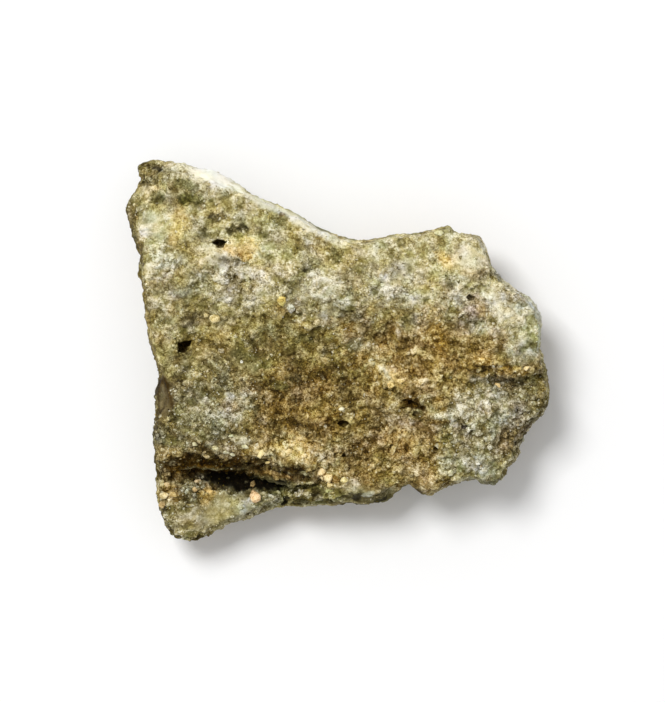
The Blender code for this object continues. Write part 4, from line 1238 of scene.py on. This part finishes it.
# %% Pebbles to choose from
def random_number(tree, seed_from, step, place):
    """A number from 0 to 1 for each grain, whose seed is the tree's seed plus a step of its own."""
    node = add_node(tree, "FunctionNodeRandomValue", place, data_type="FLOAT")
    feed(tree, port(node.inputs, "Min_001"), 0.0)
    feed(tree, port(node.inputs, "Max_001"), 1.0)
    feed(tree, node.inputs["Seed"], maths(tree, "ADD", seed_from, step, (place[0] - 200, place[1])))
    return port(node.outputs, "Value_001")


def pebble_shapes(tree, take):
    """A few angular pebbles of radius one, as separate instances."""
    joined = add_node(tree, "GeometryNodeGeometryToInstance", (-200, -700))
    for k in range(SHAPES):
        y = -700 - 220 * k
        inputs = {"Segments": take.outputs["Sides"], "Rings": take.outputs["Rings"]}
        ball = add_node(tree, "GeometryNodeMeshUVSphere", (-1300, y), inputs).outputs["Mesh"]
        where = add_node(tree, "GeometryNodeInputPosition", (-1300, y - 150)).outputs[0]
        moved = vectors(tree, "ADD", where, [k * step for step in PEBBLE_STEP], (-1100, y - 150))
        bumps = noise_node(tree, moved, PEBBLE_NOISE, 0.0, (-900, y - 150)).outputs["Color"]
        push = vectors(tree, "SUBTRACT", bumps, HALF, (-700, y - 150))
        push = vectors(tree, "SCALE", push, take.outputs["Jaggedness"], (-550, y - 150))
        inputs = {"Geometry": ball, "Offset": push}
        pushed = add_node(tree, "GeometryNodeSetPosition", (-400, y), inputs)
        inputs = {"Geometry": pushed.outputs["Geometry"]}
        hull = add_node(tree, "GeometryNodeConvexHull", (-300, y), inputs)
        feed(tree, joined.inputs["Geometry"], hull.outputs["Convex Hull"])
    return joined.outputs["Instances"]


# %% Colour, size and turn of each grain
def named_attribute(tree, name, kind, place):
    """Reads what is kept on the mesh under a name."""
    node = add_node(tree, "GeometryNodeInputNamedAttribute", place, {"Name": name}, data_type=kind)
    return node.outputs["Attribute"]


def grain_colour(tree, take, seed):
    """Each grain's own colour, mixed from three and from the ground under it."""
    ground = named_attribute(tree, "ground", "FLOAT_COLOR", (-700, 900))
    blend = random_number(tree, seed, 11, (-700, 700))
    own = mixed_colour(tree, blend, take.outputs["Colour A"], take.outputs["Colour B"], (-450, 800))
    dice = random_number(tree, seed, 23, (-700, 500))
    odd = maths(tree, "LESS_THAN", dice, take.outputs["Odd share"], (-450, 550))
    own = mixed_colour(tree, odd, own, take.outputs["Odd colour"], (-200, 750))
    share = take.outputs["Share from ground"]
    tint = mixed_colour(tree, share, own, ground, (0, 750))
    chance = random_number(tree, seed, 37, (-700, 1050))
    tone = chance_tone(tree, take.outputs["Contrast"], chance, (-450, 1050))
    tone = maths(tree, "MULTIPLY", tone, take.outputs["Lightness"], (-100, 1050))
    return toned_in_tree(tree, tint, tone, (200, 900))


def grain_size(tree, take, seed):
    """A radius for each grain: most are small, a few are large."""
    chance = random_number(tree, seed, 41, (-200, -200))
    few = maths(tree, "POWER", chance, take.outputs["Rarity of large"], (0, -200))
    room = maths(tree, "SUBTRACT", take.outputs["Largest"], take.outputs["Smallest"], (0, -350))
    more = maths(tree, "MULTIPLY", few, room, (200, -250))
    return maths(tree, "ADD", more, take.outputs["Smallest"], (350, -250))


def grain_turn(tree, take, seed, upright):
    """A random turn around the skin's normal, with a little tumble."""
    inputs = {"Min": (-math.pi,) * 3, "Max": (math.pi,) * 3, "Seed": seed}
    spin = add_node(tree, "FunctionNodeRandomValue", (200, -500), inputs, data_type="FLOAT_VECTOR")
    inputs = {"X": take.outputs["Tumble"], "Y": take.outputs["Tumble"], "Z": 1.0}
    lean = add_node(tree, "ShaderNodeCombineXYZ", (200, -650), inputs)
    turned = vectors(tree, "MULTIPLY", spin.outputs["Value"], lean.outputs[0], (400, -500))
    turn = add_node(tree, "FunctionNodeEulerToRotation", (550, -500), {"Euler": turned})
    inputs = {"Rotation": upright, "Rotate By": turn.outputs["Rotation"]}
    aligned = add_node(
        tree, "FunctionNodeRotateRotation", (700, -400), inputs, rotation_space="LOCAL"
    )
    return aligned.outputs["Rotation"]


# %% The whole tree
def grain_tree():
    """Drops points on a mesh, puts a pebble on each and makes them one plain mesh."""
    tree = bpy.data.node_groups.new("scattered_grains", "GeometryNodeTree")
    add_sockets(tree, "INPUT", GRAIN_INPUTS)
    add_sockets(tree, "OUTPUT", [("Geometry", "Geometry", None)])
    take = add_node(tree, "NodeGroupInput", (-1600, 0))
    seed = take.outputs["Seed"]

    # points, each with its tint, sunk a little into the skin
    inputs = {
        "Mesh": take.outputs["Geometry"],
        "Distance Min": take.outputs["Spacing"],
        "Density Max": take.outputs["Most per square metre"],
        "Density Factor": named_attribute(tree, take.outputs["Cover"], "FLOAT", (-1300, 200)),
        "Seed": seed,
    }
    dropped = add_node(
        tree, "GeometryNodeDistributePointsOnFaces", (-1000, 300), inputs, distribute_method="POISSON"
    )
    tint = grain_colour(tree, take, seed)
    inputs = {"Geometry": dropped.outputs["Points"], "Name": "tint", "Value": tint}
    kept = add_node(
        tree, "GeometryNodeStoreNamedAttribute", (700, 500), inputs,
        data_type="FLOAT_COLOR", domain="POINT",
    )
    size = grain_size(tree, take, seed)
    depth = maths(tree, "MULTIPLY", size, take.outputs["Sink"], (400, 100))
    depth = maths(tree, "MULTIPLY", depth, -1.0, (550, 100))
    inwards = vectors(tree, "SCALE", dropped.outputs["Normal"], depth, (700, 100))
    inputs = {"Geometry": kept.outputs["Geometry"], "Offset": inwards}
    sunk = add_node(tree, "GeometryNodeSetPosition", (850, 400), inputs)

    # a pebble on each point
    inputs = {"X": 1.0, "Y": PEBBLE_WIDTH, "Z": take.outputs["Flatness"]}
    squash = add_node(tree, "ShaderNodeCombineXYZ", (400, -800), inputs)
    pick = add_node(tree, "FunctionNodeRandomValue", (400, -1000), {"Seed": seed}, data_type="INT")
    feed(tree, port(pick.inputs, "Max_002"), SHAPES - 1)
    inputs = {
        "Points": sunk.outputs["Geometry"],
        "Instance": pebble_shapes(tree, take),
        "Pick Instance": True,
        "Instance Index": port(pick.outputs, "Value_002"),
        "Rotation": grain_turn(tree, take, seed, dropped.outputs["Rotation"]),
        "Scale": vectors(tree, "SCALE", squash.outputs[0], size, (600, -800)),
    }
    placed = add_node(tree, "GeometryNodeInstanceOnPoints", (1050, 300), inputs)
    inputs = {"Geometry": placed.outputs["Instances"]}
    real = add_node(tree, "GeometryNodeRealizeInstances", (1300, 300), inputs)
    inputs = {"Geometry": real.outputs["Geometry"], "Material": take.outputs["Material"]}
    painted = add_node(tree, "GeometryNodeSetMaterial", (1550, 300), inputs)
    add_node(tree, "NodeGroupOutput", (1800, 0), {"Geometry": painted.outputs["Geometry"]})
    return tree


GRAIN_TREE = grain_tree()
SOCKET = {
    item.name: item.identifier
    for item in GRAIN_TREE.interface.items_tree
    if item.item_type == "SOCKET" and item.in_out == "INPUT"
}
print("grain tree:", len(GRAIN_TREE.nodes), "nodes and", len(SOCKET), "inputs")

# %% Finishes of the grains
SMALL_GRAIN_CONTRASTS = (1.4, 1.6, 2.2, 4.5, 3.0)
LARGE_GRAIN_CONTRASTS = (1.1, 1.2, 1.5, 1.8, 1.3)
QUARTZ = grain_finish("quartz_grain", "tint", (0.3, 0.7), 0.03 * MM, SMALL_GRAIN_CONTRASTS, 0.35)
DULL_SAND = grain_finish("sand_grain", "tint", (0.6, 0.95), 0.03 * MM, SMALL_GRAIN_CONTRASTS, 0.12)
LARGE_GRAIN = grain_finish("large_grain", "tint", (0.5, 0.8), 0.02 * MM, LARGE_GRAIN_CONTRASTS, 0.2)
print("finishes:", [m.name for m in (GLASS, QUARTZ, DULL_SAND, LARGE_GRAIN)])

# %% Kinds of grain
def rgba(*rgb):
    """A pigment with an alpha of 1, as a node socket takes it."""
    return (*[float(c) for c in linear(*rgb)], 1.0)


KINDS_OF_GRAIN = {
    "frosted_quartz": {
        "Cover": "frost", "Spacing": 0.15e-3, "Most per square metre": 4.2e7,
        "Smallest": 0.06e-3, "Largest": 0.26e-3, "Jaggedness": 1.4, "Flatness": 0.45,
        "Tumble": 0.15, "Sink": 0.2, "Sides": 4, "Rings": 3,
        "Colour A": rgba(236, 230, 198), "Colour B": rgba(176, 170, 138),
        "Odd colour": rgba(70, 64, 38), "Odd share": 0.28,
        "Share from ground": 0.6, "Contrast": 3.2, "Lightness": 1.1, "Seed": 3, "Material": QUARTZ,
    },
    "desert_sand": {
        "Cover": "sand", "Spacing": 0.17e-3, "Most per square metre": 2.8e7,
        "Smallest": 0.06e-3, "Largest": 0.28e-3, "Jaggedness": 1.4, "Flatness": 0.55,
        "Tumble": 0.3, "Sink": 0.2, "Sides": 4, "Rings": 3,
        "Colour A": rgba(214, 188, 132), "Colour B": rgba(134, 110, 64),
        "Odd colour": rgba(60, 45, 22), "Odd share": 0.25,
        "Share from ground": 0.7, "Contrast": 3.6, "Lightness": 1.0, "Seed": 5, "Material": DULL_SAND,
    },
    "sand_lumps": {
        "Cover": "sand", "Spacing": 0.5e-3, "Most per square metre": 3.0e6,
        "Smallest": 0.14e-3, "Largest": 0.5e-3, "Jaggedness": 1.8, "Flatness": 0.45,
        "Tumble": 0.15, "Sink": 0.25, "Sides": 7, "Rings": 5,
        "Colour A": rgba(216, 190, 134), "Colour B": rgba(150, 126, 76),
        "Odd colour": rgba(226, 212, 170), "Odd share": 0.15,
        "Share from ground": 0.75, "Contrast": 2.4, "Lightness": 1.0, "Seed": 19,
        "Material": DULL_SAND,
    },
    "crystal_lumps": {
        "Cover": "crystals", "Spacing": 0.34e-3, "Most per square metre": 5.0e6,
        "Smallest": 0.1e-3, "Largest": 0.34e-3, "Jaggedness": 1.7, "Flatness": 0.5,
        "Tumble": 0.2, "Sink": 0.2, "Sides": 5, "Rings": 4,
        "Colour A": rgba(238, 234, 208), "Colour B": rgba(166, 162, 130),
        "Odd colour": rgba(58, 54, 38), "Odd share": 0.35,
        "Share from ground": 0.55, "Contrast": 3.0, "Lightness": 1.0, "Seed": 23, "Material": QUARTZ,
    },
    "glass_grit": {
        "Cover": "grit", "Spacing": 0.24e-3, "Most per square metre": 0.9e7,
        "Smallest": 0.05e-3, "Largest": 0.26e-3, "Jaggedness": 1.5, "Flatness": 0.38,
        "Tumble": 0.12, "Sink": 0.2, "Sides": 4, "Rings": 3,
        "Colour A": rgba(196, 188, 142), "Colour B": rgba(120, 110, 70),
        "Odd colour": rgba(226, 218, 178), "Odd share": 0.08,
        "Share from ground": 0.92, "Contrast": 3.4, "Lightness": 1.0, "Seed": 7, "Material": DULL_SAND,
    },
    # dark minerals, and dark grains that stand for the shadows of tiny hollows: partly painted shadow
    "dark_specks_and_hollow_shadows": {
        "Cover": "darkness", "Spacing": 0.34e-3, "Most per square metre": 0.9e7,
        "Smallest": 0.08e-3, "Largest": 0.24e-3, "Jaggedness": 1.0, "Flatness": 0.5,
        "Tumble": 0.2, "Sink": 0.3, "Sides": 4, "Rings": 3,
        "Colour A": rgba(60, 50, 24), "Colour B": rgba(76, 66, 34),
        "Odd colour": rgba(34, 26, 12), "Odd share": 0.3,
        "Share from ground": 0.35, "Contrast": 1.8, "Lightness": 0.9, "Seed": 9, "Material": DULL_SAND,
    },
    "pebbles": {
        "Cover": "grit", "Spacing": 0.8e-3, "Most per square metre": 1.1e6,
        "Smallest": 0.14e-3, "Largest": 0.4e-3, "Jaggedness": 1.8, "Flatness": 0.45,
        "Tumble": 0.08, "Sink": 0.25, "Sides": 7, "Rings": 5,
        "Colour A": rgba(206, 194, 148), "Colour B": rgba(120, 110, 70),
        "Odd colour": rgba(216, 208, 176), "Odd share": 0.05,
        "Share from ground": 0.93, "Contrast": 2.0, "Lightness": 1.0, "Seed": 13,
        "Material": DULL_SAND,
    },
    # near-white grains that stand for sparkle: painted highlights on the frosted places
    "glints": {
        "Cover": "glint", "Spacing": 0.22e-3, "Most per square metre": 0.6e7,
        "Smallest": 0.06e-3, "Largest": 0.13e-3, "Jaggedness": 0.8, "Flatness": 0.6,
        "Tumble": 0.5, "Sink": 0.0, "Sides": 4, "Rings": 2,
        "Colour A": rgba(252, 248, 230), "Colour B": rgba(236, 228, 190),
        "Odd colour": rgba(236, 226, 190), "Odd share": 0.2,
        "Share from ground": 0.2, "Contrast": 1.6, "Lightness": 1.0, "Seed": 17,
        "Material": QUARTZ,
    },
}
print("kinds of grain:", list(KINDS_OF_GRAIN))


# %% Scatter each kind of grain
def scatter(name, settings):
    """One plain mesh of grains on the stone."""
    carrier = new_object(name + "_carrier", body_mesh)
    modifier = carrier.modifiers.new("grains", "NODES")
    modifier.node_group = GRAIN_TREE
    for label, value in settings.items():
        modifier[SOCKET[label]] = value
    evaluated = carrier.evaluated_get(bpy.context.evaluated_depsgraph_get())
    mesh = bpy.data.meshes.new_from_object(evaluated)
    mesh.name = name
    bpy.data.objects.remove(carrier)
    for extra in [a.name for a in mesh.attributes if a.name in ("ground", *MASKS)]:
        mesh.attributes.remove(mesh.attributes[extra])
    grains = new_object(name, mesh)
    mesh.calc_loop_triangles()
    print(name, len(mesh.loop_triangles), "triangles")
    return grains


pieces = [scatter(name, settings) for name, settings in KINDS_OF_GRAIN.items()]

# %% [markdown]
# ## The grains that stand out
# A few grains are big or bright enough to be known by sight: a yellow one beside a grey one on
# the first roll, a pink one in the groove, a heap of tan ones at its end. Chance would never
# put them there, so each is placed one by one: the hull of a few chance points, split finer and
# roughened, dropped onto the skin from above and sunk almost to its middle.

# %% The known grains
# what it is, x, y, length, width and height in millimetres, turn in degrees, colour
KNOWN_GRAINS = [
    ("yellow_grain", -5.55, 4.95, 1.5, 0.85, 0.8, 80, linear(252, 222, 124)),
    ("grey_grain", -4.7, 4.2, 1.1, 0.9, 0.5, 40, linear(186, 180, 160)),
    ("cream_grain", -12.2, 3.2, 1.2, 1.0, 0.6, -20, linear(232, 212, 150)),
    ("cream_grain_low", -13.1, 3.5, 0.6, 0.5, 0.4, 0, linear(206, 188, 132)),
    ("pink_grain", -8.25, -14.6, 1.6, 1.3, 1.3, -10, linear(214, 176, 126)),
    ("pink_grain_tip", -8.5, -13.5, 0.6, 1.0, 0.6, 10, linear(120, 98, 64)),
    ("lobe_ochre_grain", -16.4, -14.4, 0.9, 0.8, 0.6, 20, linear(184, 156, 98)),
    ("lobe_white_grain", -17.4, -14.5, 1.1, 0.9, 0.6, 0, linear(196, 178, 130)),
    ("lobe_low_grain", -17.2, -13.4, 0.8, 0.6, 0.4, 0, linear(176, 150, 103)),
    ("lobe_corner_grain", -17.6, -15.5, 0.8, 0.9, 0.5, 0, linear(150, 128, 86)),
    ("lobe_edge_grain", -14.0, -13.2, 0.8, 0.7, 0.5, 0, linear(196, 170, 124)),
    ("lobe_edge_low", -14.3, -13.9, 0.6, 0.6, 0.5, 0, linear(170, 142, 94)),
    ("lobe_stain_grain", -12.9, -14.2, 0.9, 0.7, 0.4, 0, linear(206, 176, 111)),
    ("tan_grain_west", -1.6, -12.1, 1.1, 0.9, 0.7, 30, linear(234, 204, 143)),
    ("tan_grain_middle", -0.9, -12.7, 1.2, 1.0, 0.8, -20, linear(240, 212, 150)),
    ("tan_grain_low", -0.8, -13.4, 0.9, 0.7, 0.5, 0, linear(222, 198, 133)),
    ("tan_grain_end", 0.6, -12.9, 0.9, 0.7, 0.5, 0, linear(222, 206, 141)),
    ("green_cube", -0.8, -14.0, 0.8, 0.7, 0.4, 0, linear(160, 158, 102)),
    ("pale_ochre_tail", 5.2, -3.4, 1.2, 0.7, 0.5, -30, linear(220, 190, 122)),
    ("pale_ochre_foot", 6.3, -3.0, 0.9, 0.6, 0.4, -20, linear(222, 194, 126)),
    ("crease_grain", 16.0, -3.4, 0.8, 0.6, 0.4, -40, linear(240, 202, 130)),
    ("terrace_grain", 18.8, -1.8, 0.9, 0.7, 0.4, 0, linear(222, 196, 137)),
    ("glass_bead", -9.6, -1.1, 0.4, 0.4, 0.3, 0, linear(250, 248, 226)),
    ("glass_bead_east", 0.4, -5.8, 0.6, 0.5, 0.4, 20, linear(224, 216, 177)),
    ("rim_pebble", 10.1, 11.7, 1.0, 0.6, 0.4, 0, linear(196, 190, 141)),
    ("white_spot_low", -9.2, -9.5, 0.9, 0.7, 0.4, 0, linear(212, 206, 158)),
    ("white_spot_west", -10.6, -8.4, 0.7, 0.5, 0.4, 0, linear(204, 200, 158)),
    ("row_grain_west", -12.2, -9.7, 0.8, 0.5, 0.4, 0, linear(204, 196, 150)),
    ("row_grain_middle", -11.2, -10.1, 1.0, 0.6, 0.5, -15, linear(206, 200, 158)),
    ("row_grain_east", -10.5, -10.3, 0.8, 0.5, 0.4, -15, linear(196, 190, 149)),
    ("row_grain_end", -14.2, -9.3, 0.7, 0.5, 0.4, 0, linear(196, 188, 143)),
    ("lip_grain_west", -7.7, -10.3, 1.3, 0.6, 0.5, 50, linear(226, 206, 143)),
    ("lip_grain_low", -7.0, -11.2, 0.7, 0.4, 0.3, 30, linear(206, 180, 118)),
    ("lip_grain", -4.9, -10.0, 0.9, 0.7, 0.5, 0, linear(230, 204, 141)),
    ("lip_grain_east", -3.3, -10.5, 0.8, 0.6, 0.4, 0, linear(232, 204, 141)),
    ("south_white_grain_low", 11.3, -12.2, 1.0, 0.7, 0.5, -40, linear(210, 204, 164)),
]
print(len(KNOWN_GRAINS), "known grains")

# %% Place the known grains
HULL_POINTS = 15
PROUD = 0.12  # how far a known grain's middle stands above the skin, in heights of the grain
SKY = 30  # higher than all of the stone, in millimetres


def angular_grain(length, width, height, seed):
    """Points and faces of a rough, broken grain of this size, in millimetres."""
    chance = random.Random(seed)
    grain = bmesh.new()
    for _ in range(HULL_POINTS):
        point = Vector([chance.gauss(0, 1) for _ in range(3)]).normalized()
        grain.verts.new(point * chance.uniform(0.42, 0.56))
    hull = bmesh.ops.convex_hull(grain, input=grain.verts)
    bmesh.ops.delete(grain, geom=hull["geom_interior"], context="VERTS")
    bmesh.ops.subdivide_edges(grain, edges=grain.edges, cuts=2, use_grid_fill=True, smooth=0.12)
    bmesh.ops.triangulate(grain, faces=grain.faces)
    for vertex in grain.verts:
        vertex.co *= 1 + 0.25 * noise.noise(vertex.co * 6.0 + Vector((0, seed, 0)))
    grain.verts.index_update()
    points = np.array([v.co * Vector((length, width, height)) for v in grain.verts])
    faces = [[v.index for v in face.verts] for face in grain.faces]
    grain.free()
    return points, faces


def known_grains(name):
    """The listed grains as one mesh, each with its own tint."""
    points, faces, tints = [], [], []
    for seed, (_, x, y, length, width, height, degrees, colour) in enumerate(KNOWN_GRAINS):
        hit, normal, _, _ = skin_finder.ray_cast(Vector((x, y, SKY)) * MM, Vector((0, 0, -1)))
        own, own_faces = angular_grain(length, width, height, seed)
        turn = Matrix.Rotation(math.radians(degrees), 3, "Z")
        lean = Vector((0, 0, 1)).rotation_difference(normal).to_matrix()
        own = own @ np.array(lean @ turn).T + np.array(hit) / MM + (0, 0, PROUD * height)
        faces += [[v + len(points) for v in face] for face in own_faces]
        points += list(own * MM)
        tints += [(*colour, 1.0)] * len(own)
    mesh = bpy.data.meshes.new(name)
    mesh.from_pydata(points, [], faces)
    layer = mesh.color_attributes.new("tint", "FLOAT_COLOR", "POINT")
    layer.data.foreach_set("color", np.array(tints, dtype=np.float32).ravel())
    mesh.shade_smooth()
    mesh.materials.append(LARGE_GRAIN)
    grains = new_object(name, mesh)
    print(len(KNOWN_GRAINS), "known grains,", len(mesh.polygons), "triangles")
    return grains


pieces.append(known_grains("known_grains"))

# %% [markdown]
# ## Fastened to the plain solid
# The new skin takes the plain solid's place. Every grain is fused into the stone, so skin and
# grains all ride on its one body and share its slot.

# %% Fasten the pieces to the plain solid
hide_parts(NODE)
for piece in [body, *pieces]:
    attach(piece, "root")
print(len(pieces) + 1, "pieces ride on the stone's body")

# %% [markdown]
# ## Table, camera and light
# The stone lies on a white table and is seen from straight above through a long lens, so that
# a tenth of a millimetre is one point of the picture all over it. One soft lamp stands high
# above it, towards the picture's upper left, so shadows fall to the lower right. A lamp alone
# would leave the groove black. A white sky fills the shadows.

# %% White table
TABLE_HALF = 1.5
TABLE_LOW = -0.02 * MM  # a hair below the stone, so that the two never share a plane
TABLE_WHITE = (0.9, 0.9, 0.9, 1)
corners = [(-1, -1), (1, -1), (1, 1), (-1, 1)]
table_mesh = bpy.data.meshes.new("table")
table_mesh.from_pydata(
    [(x * TABLE_HALF, y * TABLE_HALF, TABLE_LOW) for x, y in corners], [], [(0, 1, 2, 3)]
)
white = bpy.data.materials.new("white_table")
white.use_nodes = True
shader = white.node_tree.nodes["Principled BSDF"]
shader.inputs["Base Color"].default_value = TABLE_WHITE
shader.inputs["Roughness"].default_value = 0.9
table_mesh.materials.append(white)
table = new_object("table", table_mesh)
print("table:", 2 * TABLE_HALF, "m wide")

# %% Camera
VIEW_HEIGHT = 0.0702  # what the picture's long side shows, in metres
FOCUS_HEIGHT = 0.0065  # height above the table where that holds
VIEW_CENTRE = (-0.00051, -0.00003)
LENS = 250  # in millimetres, as is the width of the sensor
SENSOR = 36
camera_data = bpy.data.cameras.new("camera")
camera_data.lens = LENS
camera_data.sensor_width = SENSOR
camera_data.clip_start = 0.01
camera_data.clip_end = 10
camera = new_object("camera", camera_data)
camera.location = (*VIEW_CENTRE, FOCUS_HEIGHT + VIEW_HEIGHT * LENS / SENSOR)
bpy.context.scene.camera = camera
print("camera", round(camera.location.z, 3), "m above the table")

# %% Light
TOWARDS_LAMP = Vector((-0.45, 0.52, 1.15)).normalized()  # from the stone
LAMP_DISTANCE = 0.9
LAMP_SIZE = 0.34
LAMP_WATTS = 6.1
SKY_STRENGTH = 0.545
lamp_data = bpy.data.lights.new("key", "AREA")
lamp_data.size = LAMP_SIZE
lamp_data.energy = LAMP_WATTS
lamp = new_object("key", lamp_data)
lamp.location = TOWARDS_LAMP * LAMP_DISTANCE
lamp.rotation_mode = "QUATERNION"
lamp.rotation_quaternion = TOWARDS_LAMP.to_track_quat("Z", "Y")
world = bpy.data.worlds.new("sky")
world.use_nodes = True
sky = world.node_tree.nodes["Background"]
sky.inputs["Color"].default_value = (1, 1, 1, 1)
sky.inputs["Strength"].default_value = SKY_STRENGTH
bpy.context.scene.world = world
bpy.context.scene.view_settings.view_transform = "Standard"
print("lamp of", LAMP_WATTS, "W", LAMP_DISTANCE, "m away, and a sky of", SKY_STRENGTH)
